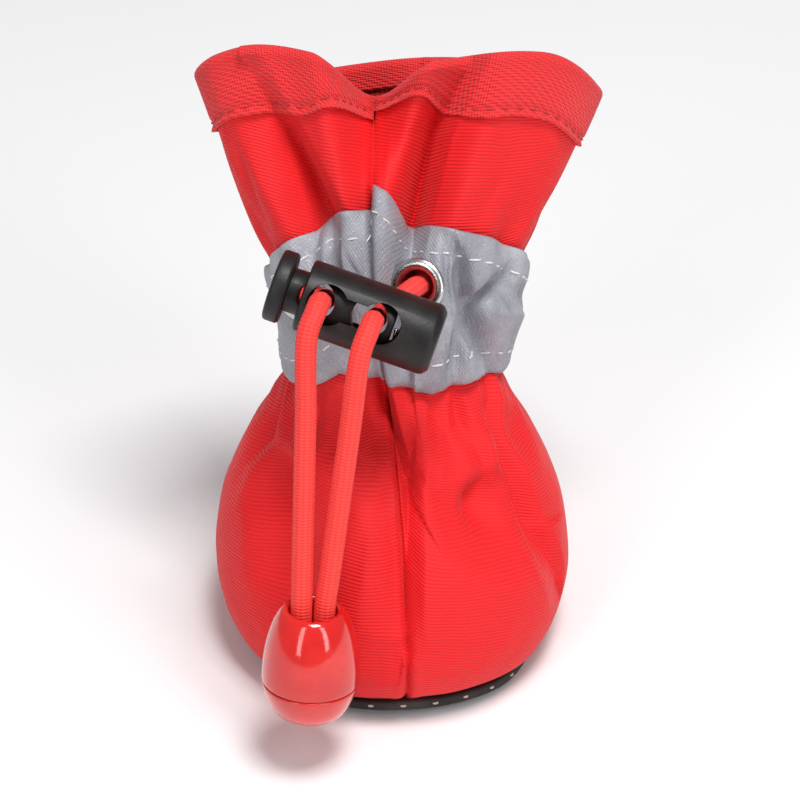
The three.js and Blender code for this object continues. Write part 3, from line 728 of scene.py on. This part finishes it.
def unit(v):
    return v / np.maximum(np.linalg.norm(v, axis=-1, keepdims=True), 1e-9)


def cloth(angle, station, out=0.0, lift=0.0, depth=None):
    """A point so far off the shell: out along the unfolded normal, lift on up the wall."""
    angle, station = np.broadcast_arrays(np.asarray(angle, float), np.asarray(station, float))
    step = 0.05
    here = np.clip(station, step, RIM - step)
    around = face_point(angle + 1, here) - face_point(angle - 1, here)
    up = unit(face_point(angle, here + step) - face_point(angle, here - step))
    normal = unit(np.cross(unit(around), up))
    if depth is None:
        depth = pushed_in(angle, np.minimum(station, RIM))
    point = face_point(angle, station, depth)
    point = point + np.asarray(out)[..., None] * normal + np.asarray(lift)[..., None] * up
    reach = (np.abs(point[..., 1]) - (SOLE["length"] / 2 - TIP["length"])) / TIP["length"]
    point[..., 2] += TIP["rise"] * smooth(reach) * (1 - smooth(station / 2))
    return point


def columns_of(count, spots):
    """Angles round the bootie, closer together near some of them."""
    fine = np.linspace(-180, 180, 7201)
    density = np.ones_like(fine)
    for at, half, gain in spots:
        density += gain * np.exp(-((wrapped(fine - at) / half) ** 2))
    run = np.concatenate([[0], np.cumsum((density[1:] + density[:-1]) / 2)])
    return np.interp(np.linspace(0, run[-1], count + 1), run, fine)


ROUND = columns_of(380, [(0, 3, 2.2), (22, 14, 0.9), (0, 60, 0.5), (180, 3, 1.0)])


def arc_along(angle, stations, start=7.0):
    """Length of the unfolded cloth up each column from a station, for the threads."""
    points = face_point(*np.broadcast_arrays(angle[None, :], stations[:, None]))
    steps = np.linalg.norm(np.diff(points, axis=0), axis=-1)
    run = np.vstack([np.zeros((1, len(angle))), np.cumsum(steps, axis=0)])
    base = np.array([np.interp(start, stations, run[:, k]) for k in range(len(angle))])
    return run - base


def even_stations(count, low, high):
    fine = np.linspace(low, high, 600)
    run = arc_along(np.linspace(-180, 170, 36), fine, low).mean(1)
    return np.interp(np.linspace(0, run[-1], count), run, fine)


def cloth_ring(name, outer, outer_stations, inner, inner_stations, spread=0.42):
    """A closed wall of cloth from rows of its outer face, going up, and of its inner face."""
    rows = np.concatenate([outer, inner])
    across = np.broadcast_to(ROUND * spread, (len(rows), len(ROUND)))
    along = arc_along(ROUND, outer_stations)
    back = [np.interp(inner_stations, outer_stations, column) for column in along.T]
    return cloth_mesh(name, rows, across, np.vstack([along, np.stack(back, 1)]))


def seam_groove(angle, station):
    """The sewn line down the front and the back: a groove between two slight ridges."""
    total = 0.0
    for at, deep in ((0, 1.15), (180, 0.9)):
        x = wrapped(angle - at) * MM_PER_DEGREE
        ridges = 0.22 * np.exp(-(((np.abs(x) - 0.95) / 0.5) ** 2))
        total = total + deep * np.exp(-((x / 0.3) ** 2)) - ridges
    return total


def ripples(angle, station):
    """Small unevenness of the cloth, finer and livelier at the gathers."""
    lively = 0.25 + hump((station - 6.2) / 2.4)
    a = np.radians(angle)
    wave = np.sin(9 * a + 2.1 * station) * np.sin(1.7 * station + 3 * a + 1)
    wave = wave + 0.6 * np.sin(17 * a - 2.6 * station + 2) * np.sin(2.9 * station - 5 * a)
    return 0.3 * lively * wave


def draped(angle, station):
    return pushed_in(angle, station) + seam_groove(angle, station) + ripples(angle, station)


SHELL_STATIONS = np.concatenate([even_stations(168, 0, 11.4), [11.6, 11.8, 12.0]])
BACK_STATIONS = np.linspace(12, 0, 90)
TUCK = 0.45
angles = ROUND[:-1]


def draped_rows(stations, out=0.0, deeper=0.0):
    """Rows of the draped cloth at stations, so far off the shell's outer face."""
    a, s = np.meshgrid(angles, stations)
    return cloth(a, s, out, depth=draped(a, s) + deeper)


shell_outer = draped_rows(SHELL_STATIONS)
shell_outer[0, :, 2] -= TUCK
shell_inner = draped_rows(BACK_STATIONS, -0.55, 0.15)
shell_inner[-1, :, 2] -= TUCK
nylon_shell = cloth_ring("nylon_shell", shell_outer, SHELL_STATIONS, shell_inner, BACK_STATIONS)


def ribbed_nylon():
    finish = Finish("red_ribbed_nylon")
    across, along = finish.threads()
    drift = ((across + 14) * 0.055).sine() * 5
    sway = finish.noise(70, 2) * 1.7 + finish.noise(260, 2) * 0.3
    ribs = ((along + drift + sway) * (FULL_TURN / 0.52)).sine() * 0.5 + 0.5
    warp = (across * (FULL_TURN / 0.27)).sine() * 0.5 + 0.5
    slub = finish.noise(1800, 3, finish.place((1, 1, 3)))
    patch = finish.noise(45, 2)
    height = ribs * 0.7 + warp * ribs * 0.15 + slub * 0.3
    # The colour follows the ribs and is darker in the grooves between them: painted shade. Slub and
    # patch are the yarn's own uneven tone.
    shade = ribs * 0.32 + slub * 0.3 + patch * 0.38
    color = finish.mix(shade.over(0.1, 0.95), (0.66, 0.006, 0.009), (0.90, 0.018, 0.022))
    return finish.surface(
        color, 0.56 + 0.2 * slub, height, 0.00009, Specular_IOR_Level=0.3, Sheen_Weight=0.18,
        Sheen_Roughness=0.35, Sheen_Tint=(1, 0.45, 0.45, 1),
    )


wear(nylon_shell, ribbed_nylon(), nodes=["upper"])

# Lining: a thin red knitted mesh inside the shell, caught in the same seams. It shows only in the
# collar, and is followed down to the sole.
lining_down = even_stations(96, 0, 12.0)[::-1]
lining_up = BACK_STATIONS[::-1]
inner_face = draped_rows(lining_down, -1.2)
outer_face = draped_rows(lining_up, -0.8, 0.1)
mesh_lining = cloth_ring("mesh_lining", outer_face, lining_up, inner_face, lining_down)


def knitted_mesh(name, low, high, size, relief):
    """A coarse open weave with small dark holes between its slanting threads."""
    finish = Finish(name)
    across, along = finish.threads()
    turn = FULL_TURN / size
    left = ((across + along) * turn).sine()
    right = ((across - along) * turn).sine()
    holes = (left * right * 0.5 + 0.5).over(0.15, 0.75)
    twill = ((across * 0.5 + along) * turn).sine() * 0.5 + 0.5
    fuzz = finish.noise(2200, 3)
    height = holes * 0.6 + twill * 0.4 + fuzz * 0.2
    color = finish.mix(height.over(0.2, 1.0), low, high)
    return finish.surface(
        color, 0.75 + 0.15 * fuzz, height, relief, Sheen_Weight=0.25, Sheen_Roughness=0.4,
        Sheen_Tint=(1, 0.5, 0.5, 1),
    )


red_mesh = knitted_mesh(
    "red_mesh_lining", (0.16, 0.004, 0.006), (0.62, 0.02, 0.025), 1.3, 0.00025
)
wear(mesh_lining, red_mesh)

# Reflective band: silvery grey coated cloth sewn round the ankle along both edges. It is the
# tunnel of the drawcord, so it bulges between its two rows of stitches, and it crumples.
BAND = {"foot": 6.0, "tunnel": 2.0, "bridge": 0.6, "thick": 0.75, "gap": 0.4}
# Its upper edge, as stations at angles: it steps up at the front seam.
BAND_TOP = [
    (-180, 8.1), (-110, 8.1), (-78, 8.15), (-45, 8.5), (-28, 8.8), (-20, 9.1), (-0.4, 9.15),
    (0.4, 9.8), (6, 9.55), (12, 9.1), (17, 8.85), (24, 8.8), (36, 8.65), (55, 8.5), (99, 8.1),
    (180, 8.1),
]
BAND_LOW = [
    (-180, 6), (-60, 6.05), (-40, 6.15), (-24, 6.35), (-12, 6.3), (8, 6.2), (26, 6.1), (52, 6.15),
    (90, 6), (180, 6),
]
# Crumples of the band, as the creases above: the deep ones lie right of the cord lock.
CRUMPLES = [
    ([(38, 8.2), (45, 7.5), (52, 7.0)], 3.4, 3.4, 2.6),
    ([(52, 7.0), (62, 7.5), (74, 7.7)], 3.0, 3.0, 1.6),
    ([(52, 7.0), (58, 6.6), (68, 6.3)], 2.8, 2.8, 1.6),
    ([(52, 7.0), (45, 6.7), (38, 6.4)], 2.6, 2.4, 1.2),
    ([(66, 7.0), (80, 6.9), (96, 6.8)], 4.5, -2.2, 1.0),
    ([(32, 8.8), (33, 7.8), (36, 7.2)], 2.2, 2.0, 3.2),
    ([(-14, 9.3), (-14.5, 8.2), (-13, 7.2), (-12, 6.5)], 3.4, 2.8, 4.2),
    ([(-30, 8.9), (-28, 7.8)], 3.0, 2.0, 1.0),
    ([(-46, 8.3), (-44, 7.5), (-48, 6.7)], 2.0, 0.9, 1.0),
    ([(-60, 7.9), (-66, 7.2), (-62, 6.4)], 2.2, 0.9, 1.0),
    ([(72, 8.2), (74, 7.4), (80, 6.6)], 2.2, 1.0, 1.0),
    ([(92, 7.8), (90, 7), (96, 6.3)], 2.2, 0.8, 1.0),
    ([(112, 8), (116, 7.2), (112, 6.4)], 2.2, 0.9, 1.0),
    ([(140, 7.9), (136, 7.1), (140, 6.3)], 2.4, 0.9, 1.4),
    ([(164, 7.9), (168, 7.1), (160, 6.4)], 2.2, 0.9, 1.0),
    ([(-92, 7.9), (-96, 7.1), (-90, 6.4)], 2.2, 0.9, 1.2),
    ([(-120, 7.9), (-124, 7), (-118, 6.3)], 2.4, 0.9, 1.0),
    ([(-148, 7.9), (-144, 7), (-150, 6.4)], 2.4, 0.9, 1.0),
]


def tabled(table, angle):
    stops = np.array(table, float)
    return np.interp(wrapped(angle), stops[:, 0], stops[:, 1])


def band_point(angle, share, out):
    """A point of the tunnel at a share of its height; out counts from its inner face."""
    angle, share = np.broadcast_arrays(np.asarray(angle, float), np.asarray(share, float))
    station = tabled(BAND_LOW, angle) + (tabled(BAND_TOP, angle) - tabled(BAND_LOW, angle)) * share
    bulge = np.sin(np.pi * np.clip(share, 0, 1)) ** 0.7
    crumple = sum(crease(angle, station, *row) for row in CRUMPLES)
    at_eyelet = hump(wrapped(angle + 33) / 18) + hump(wrapped(angle - 23) / 16)
    crumple = crumple * (1 - np.clip(at_eyelet, 0, 1) * hump((share - 0.5) / 0.5))
    creased = pushed_in(angle, station)
    plain = pushed_in(angle, station, 0)
    depth = (1 - (1 - BAND["bridge"]) * bulge) * plain + (creased - plain) * (1 - 0.55 * bulge)
    depth = depth + seam_groove(angle, station) * 0.9
    lift = BAND["gap"] + np.maximum(BAND["tunnel"] * bulge - crumple, 0) + out
    return cloth(angle, station, lift, depth=depth)


shares = np.linspace(0, 1, 44)
back_shares = np.linspace(1, 0, 20)
fold_a, fold_s = np.meshgrid(angles, shares)
band_outer = band_point(fold_a, fold_s, BAND["thick"])
fold_a, fold_s = np.meshgrid(angles, back_shares)
band_inner = band_point(fold_a, fold_s, 0.0)
around = np.broadcast_to(ROUND * 0.38, (len(shares) + len(back_shares), len(ROUND)))
rise = np.concatenate([shares, back_shares])[:, None] * np.full(len(ROUND), 15.0)
band_rows = np.concatenate([band_outer, band_inner])
reflective_tunnel = cloth_mesh("reflective_tunnel", band_rows, around, rise)
for at, out in EYELETS.values():
    bpy.ops.object.select_all(action="DESELECT")
    bpy.ops.mesh.primitive_cylinder_add(vertices=40, radius=2.85 * MM, depth=9 * MM)
    punch = bpy.context.object
    settle(punch, at, out)
    applied(reflective_tunnel, "BOOLEAN", object=punch, operation="DIFFERENCE", solver="EXACT")
    bpy.data.objects.remove(punch)


def silver_cloth():
    finish = Finish("reflective_silver_cloth")
    glint = finish.node("TexVoronoi", {}, {"Scale": 6000, "Vector": finish.place()}, 1)
    bright = finish.node("SeparateColor", {}, {"Color": glint}, 0)
    specks_and_painted_glint = bright.over(0.9, 0.99)
    grain = finish.noise(2600, 3)
    cloud = finish.noise(140, 3)
    across, along = finish.threads()
    weave = (across * (FULL_TURN / 0.5)).sine() * (along * (FULL_TURN / 0.5)).sine() * 0.5 + 0.5
    tone = finish.mix(cloud.over(0.3, 0.75), (0.28, 0.28, 0.315), (0.41, 0.41, 0.45))
    tone = finish.mix(grain.over(0.5, 0.75) * 0.35, tone, (0.16, 0.16, 0.19))
    # The film's specks are lighter in colour here: painted glints. Their lower roughness and higher
    # metallic are the film's own.
    color = finish.mix(specks_and_painted_glint * 0.3, tone, (0.7, 0.71, 0.77))
    return finish.surface(
        color, 0.6 - 0.22 * specks_and_painted_glint + 0.1 * grain, weave * 0.5 + grain * 0.6, 0.00012,
        Metallic=0.12 + 0.3 * specks_and_painted_glint, Specular_IOR_Level=0.5,
    )


wear(reflective_tunnel, silver_cloth(), nodes=["reflective_band"])

# Stitches of the band: two rows of white thread round the tunnel, short and slightly slanted,
# each stitch pulled into the cloth at its ends.
bpy.ops.object.select_all(action="DESELECT")
bpy.ops.mesh.primitive_uv_sphere_add(segments=8, ring_count=6, radius=1)
bead = bpy.context.object
BEAD_POINTS = np.array([v.co[:] for v in bead.data.vertices])
BEAD_FACES = [list(f.vertices) for f in bead.data.polygons]
bpy.data.objects.remove(bead)


def sewn(name, spots, heads, normals, length, radius, bow=0.25):
    """One mesh of stitches: each lies along its heading and arches out of the cloth."""
    points, faces = [], []
    for spot, head, normal in zip(spots, unit(heads), unit(normals)):
        side = np.cross(normal, head)
        x = BEAD_POINTS[:, 2:3] * length / 2
        dip = -bow * (BEAD_POINTS[:, 2:3] ** 2)
        shape = (
            x * head + BEAD_POINTS[:, 0:1] * radius * side
            + (BEAD_POINTS[:, 1:2] * radius + dip) * normal
        )
        base = len(points) * len(BEAD_POINTS)
        points.append(spot + shape)
        faces += [[base + k for k in face] for face in BEAD_FACES]
    mesh = bpy.data.meshes.new(name)
    mesh.from_pydata((np.concatenate(points) * MM).tolist(), [], faces)
    return closed(linked(name, mesh))


def spaced(place, pitch):
    """Even spots along a closed line that place(angle) gives, with headings and normals."""
    fine = np.linspace(-180, 180, 2161)
    run = np.concatenate([[0], np.cumsum(np.linalg.norm(np.diff(place(fine), axis=0), axis=-1))])
    count = int(run[-1] / pitch)
    at = np.interp((np.arange(count) + 0.5) * run[-1] / count, run, fine)
    here, ahead, behind = place(at), place(at + 0.6), place(at - 0.6)
    return at, here, ahead - behind


def cotton_thread(name, low, high):
    finish = Finish(name)
    twist = finish.noise(4200, 3)
    color = finish.mix(twist.over(0.3, 0.7), low, high)
    return finish.surface(color, 0.7 + 0.15 * twist, twist, 0.00008, Sheen_Weight=0.2)


white_thread = cotton_thread("white_thread", (0.52, 0.49, 0.5), (0.85, 0.82, 0.83))
spots, heads, normals = [], [], []
for share in (0.82, 0.13):
    at, here, head = spaced(lambda a: band_point(a, share, BAND["thick"] + 0.03), 2.6)
    up = band_point(at, share + 0.05, BAND["thick"]) - band_point(at, share - 0.05, BAND["thick"])
    spots.append(here)
    heads.append(unit(head) + 0.12 * unit(up))
    normals.append(np.cross(head, up))
band_stitches = sewn("band_stitches", *map(np.concatenate, (spots, heads, normals)), 1.9, 0.17)
wear(band_stitches, white_thread)

# Collar binding: a wide strip of coarse red mesh tape turned over the rim, a deep flap outside
# and a short one inside, sewn down a millimetre above its lower edge.
HEM = {"height": 8.0, "facing": 3.4, "thick": 0.5, "under": 0.15, "wall": 1.25, "row": 1.1}
# How much the flap narrows at the front seam, and over how many degrees: left, then right.
NOTCH = [(0.7, 26), (0.86, 38)]


def hem_width(angle):
    """The flap's height: on both sides of the front seam the binding narrows to a cord."""
    left, right = (share * hump(wrapped(angle) / half) for share, half in NOTCH)
    return HEM["height"] * (1 - np.where(wrapped(angle) < 0, left, right) * 0.98)


def rim_drop(angle, drop):
    """The station so many millimetres of cloth below the rim."""
    full = np.full_like(angle, RIM)
    near = face_point(angle, full) - face_point(angle, full - 0.8)
    return RIM - drop * 0.8 / np.linalg.norm(near, axis=-1)


def hem_wave(angle, drop, width):
    """The lower edge stands off a little between its stitches and puckers on the row."""
    row = np.exp(-(((width - drop - HEM["row"]) / 0.45) ** 2))
    edge = smooth((drop - width + 0.9) / 0.9)
    return -0.25 * row + edge * (0.2 + 0.14 * np.sin(np.radians(angle * 21)))


def hem_row(angle, drop, out, lift=0.0):
    station = rim_drop(angle, np.broadcast_to(drop, angle.shape))
    depth = pushed_in(angle, station) + seam_groove(angle, station) * 0.8
    return cloth(angle, station, out, lift, depth)


hem_rows, hem_along = [], []
widths = hem_width(angles)
outside = HEM["under"] + HEM["thick"]
facing_under = -HEM["wall"] - HEM["under"]
half_roll = (outside + HEM["wall"] + outside) / 2


def add_row(drop, out, along, lift=0.0):
    hem_rows.append(hem_row(angles, drop, out, lift))
    hem_along.append(widths * 0 + along)


for drop in np.linspace(1, 0.01, 30)[:, None] * widths:
    add_row(drop, outside + hem_wave(angles, drop, widths), -drop)
for turn in np.linspace(12, 168, 9):
    swing = math.radians(turn)
    add_row(0.0, outside - half_roll * (1 - math.cos(swing)), turn / 40, 1.15 * math.sin(swing))
for drop in np.linspace(0.1, HEM["facing"], 10):
    add_row(drop, facing_under - HEM["thick"], 4.5 + drop)
for drop in np.linspace(HEM["facing"], 0.2, 6):
    add_row(drop, facing_under, 4.5 + drop)
for turn in np.linspace(160, 20, 5):
    swing = math.radians(turn)
    out = HEM["under"] - (half_roll - HEM["thick"]) * (1 - math.cos(swing))
    add_row(0.0, out, turn / 40, 0.55 * math.sin(swing))
for drop in np.linspace(0.02, 1, 14)[:, None] * widths:
    add_row(drop, HEM["under"], -drop)
hem_rows = np.stack(hem_rows)
rim_line = face_point(ROUND, np.full(len(ROUND), RIM))
rim_run = np.concatenate([[0], np.cumsum(np.linalg.norm(np.diff(rim_line, axis=0), axis=-1))])
collar_binding = cloth_mesh(
    "collar_binding", hem_rows, np.broadcast_to(rim_run, (len(hem_rows), len(ROUND))),
    np.array([[*row, row[0]] for row in hem_along]),
)
tape = knitted_mesh("red_binding_tape", (0.58, 0.008, 0.011), (0.90, 0.03, 0.033), 0.8, 0.00016)
wear(collar_binding, tape, nodes=["collar_hem"])
red_thread = cotton_thread("red_thread", (0.34, 0.006, 0.008), (0.66, 0.02, 0.022))


def hem_line(angle):
    drop = np.maximum(hem_width(angle) - HEM["row"], 0.3)
    return hem_row(angle, drop, outside - 0.1)


at, here, head = spaced(hem_line, 2.3)
upward = hem_row(at, hem_width(at) * 0.8, 0.0) - hem_row(at, hem_width(at), 0.0)
binding_stitches = sewn("binding_stitches", here, head, np.cross(head, upward), 1.7, 0.15)
wear(binding_stitches, red_thread)

# Sole stitches: the light thread that sews sole and upper together comes out on the sole's edge
# as a dot every few millimetres.
def sole_line(angle):
    turn = np.radians(angle)
    x, y = outline_point(turn, -0.02)
    return np.stack([x, y, 1.5 + tip_rise(y)], -1)


at, here, head = spaced(sole_line, 4.7)
normal = here * np.array([1, 0.75, 0])
sole_stitches = sewn("sole_stitches", here, head, normal, 0.95, 0.2, 0.12)
wear(sole_stitches, cotton_thread("ecru_thread", (0.42, 0.36, 0.27), (0.72, 0.64, 0.5)))

# Eyelets: two rolled rings of bright plated steel, pressed through the band, where the drawcord
# comes out of its tunnel.
ring_profile = [
    (2.3, -2.0), (2.72, -1.95), (2.74, 0.2), (3.4, 0.36), (3.85, 0.42), (4.1, 0.72), (4.05, 1.02),
    (3.7, 1.3), (3.2, 1.4), (2.8, 1.3), (2.5, 1.0), (2.32, 0.55), (2.3, -0.4), (2.3, -2.0),
]


def plated_steel():
    finish = Finish("plated_steel")
    scratch = finish.noise(1400, 4, finish.place((1, 4, 1)))
    tarnish = finish.noise(300, 3)
    color = finish.mix(tarnish.over(0.4, 0.75), (0.56, 0.55, 0.535), (0.4, 0.385, 0.36))
    rough = 0.16 + 0.18 * scratch
    return finish.surface(color, rough, scratch, 0.00002, Metallic=1.0)


steel = plated_steel()
for hand, (at, out) in EYELETS.items():
    ring = turned("eyelet_ring_" + hand, ring_profile, 48, hollow=True)
    rounded(ring, 0.08, 2)
    settle(ring, at, out)
    wear(ring, steel, nodes=["eyelet_" + hand])

# Cord lock: a black moulded barrel with a spring inside and a push button at its open end. Both
# strands pass through two joined round holes, and the button's own holes pinch them.
LOCK_AT = Vector((-3.84, -15.81, 63.16))
ALONG = Vector((0.926622, -0.26407, -0.267655)).normalized()
OUT = Vector((-0.1061, -0.8666, 0.4876)).normalized()
LOCK = {"hole": 2.9, "push_hole": 2.7, "travel": 1.8}
HOLES = (-6.1, 1.65)


def bored(piece, cutters):
    """Cuts holes across a lathe piece, whose X is the way out through them."""
    for kind, place, size in cutters:
        bpy.ops.object.select_all(action="DESELECT")
        if kind == "rod":
            bpy.ops.mesh.primitive_cylinder_add(
                vertices=64, radius=size * MM, depth=24 * MM, rotation=(0, math.pi / 2, 0),
                location=(0, 0, place * MM),
            )
        else:
            bpy.ops.mesh.primitive_cube_add(size=1, location=(0, 0, place * MM))
            bpy.context.object.scale = (24 * MM, size[0] * MM, size[1] * MM)
        cutter = bpy.context.object
        selected_alone(cutter)
        bpy.ops.object.transform_apply(location=True, rotation=True, scale=True)
        applied(piece, "BOOLEAN", object=cutter, operation="DIFFERENCE", solver="EXACT")
        bpy.data.objects.remove(cutter)


barrel_rings = [
    (3.95, 7.9), (3.95, -9.5), (4.15, -9.85), (4.9, -9.9), (5.15, -9.65), (5.17, -8.6),
    (5.15, 8.7), (5.0, 9.2), (4.3, 9.85), (4.0, 9.9),
]
toggle_barrel = turned("toggle_barrel", barrel_rings, 96)
bored(toggle_barrel, [
    ("rod", HOLES[0], LOCK["hole"]), ("rod", HOLES[1], LOCK["hole"]),
    ("box", sum(HOLES) / 2, (3.4, 7.0)),
])
rounded(toggle_barrel, 0.22, 3, 32)
button_rings = [
    (4.6, -14.45), (5.0, -14.3), (5.15, -13.95), (5.15, -12.45), (4.9, -12.1), (3.15, -12.05),
    (3.15, -10.25), (3.55, -9.55), (3.55, 3.35),
]
toggle_button = turned("toggle_button", button_rings, 96)
bored(toggle_button, [("rod", y - LOCK["travel"], LOCK["push_hole"]) for y in HOLES])
rounded(toggle_button, 0.15, 2, 32)
bpy.ops.object.select_all(action="DESELECT")
bpy.ops.mesh.primitive_circle_add(
    vertices=12, radius=0.3 * MM, rotation=(math.pi / 2, 0, 0), location=(2.55 * MM, 0, 4.0 * MM)
)
toggle_spring = bpy.context.object
toggle_spring.name = "toggle_spring"
bpy.ops.object.transform_apply(location=True, rotation=True, scale=True)
applied(
    toggle_spring, "SCREW", screw_offset=0.928 * MM, iterations=4, angle=2 * math.pi * 0.875,
    steps=40, render_steps=40, axis="Z", use_normal_calculate=True,
)
closed(toggle_spring, weld=1e-7, fill=True)
bpy.ops.object.shade_smooth()
for part in (toggle_barrel, toggle_button, toggle_spring):
    settle(part, LOCK_AT, ALONG, OUT)


def black_plastic():
    finish = Finish("black_moulded_plastic")
    grain = finish.noise(2400, 3)
    rub = finish.noise(220, 3)
    color = finish.mix(rub.over(0.4, 0.75), (0.007, 0.0055, 0.0055), (0.018, 0.0135, 0.013))
    rough = 0.34 + 0.14 * rub + 0.08 * grain
    return finish.surface(color, rough, grain, 0.00003, Specular_IOR_Level=0.38)


black = black_plastic()
wear(toggle_barrel, black, nodes=["lock_barrel"])
wear(toggle_button, black, "button", ["lock_button"])
wear(toggle_spring, steel, nodes=["lock_spring"])
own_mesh(toggle_spring)

# Floor: a plain pale studio floor, and broad soft lights above it as in a light tent.
bpy.ops.object.select_all(action="DESELECT")
bpy.ops.mesh.primitive_plane_add(size=8, location=(0, 0, 0))
floor = bpy.context.object
floor.name = "floor"


def pale_floor():
    finish = Finish("pale_floor")
    cloud = finish.noise(3, 2)
    color = finish.mix(cloud, (0.86, 0.86, 0.86), (0.90, 0.90, 0.90))
    return finish.surface(color, 0.65 + 0.1 * cloud, Specular_IOR_Level=0.25)


floor.data.materials.append(pale_floor())


def soft_light(name, at, power, size, tall=None, color=(1, 1, 1)):
    light = bpy.data.lights.new(name, "AREA")
    light.shape = "RECTANGLE"
    light.size, light.size_y = size, tall or size
    light.energy = power
    light.color = color
    lamp = bpy.data.objects.new(name, light)
    bpy.context.scene.collection.objects.link(lamp)
    lamp.location = at
    aim = Vector((0, 0, 0.04)) - lamp.location
    lamp.rotation_euler = aim.to_track_quat("-Z", "Y").to_euler()


soft_light("key", (-0.42, -0.60, 0.44), 1.5, 0.16, 0.75)
soft_light("fill", (0.44, -0.60, 0.44), 1.9, 0.16, 0.75)
soft_light("top", (0.12, -0.22, 0.95), 7.4, 0.3)
world = bpy.data.worlds.new("tent")
world.use_nodes = True
world.node_tree.nodes["Background"].inputs["Color"].default_value = (0.95, 0.96, 1.0, 1)
world.node_tree.nodes["Background"].inputs["Strength"].default_value = 0.3
bpy.context.scene.world = world
bpy.context.scene.view_settings.view_transform = "Standard"
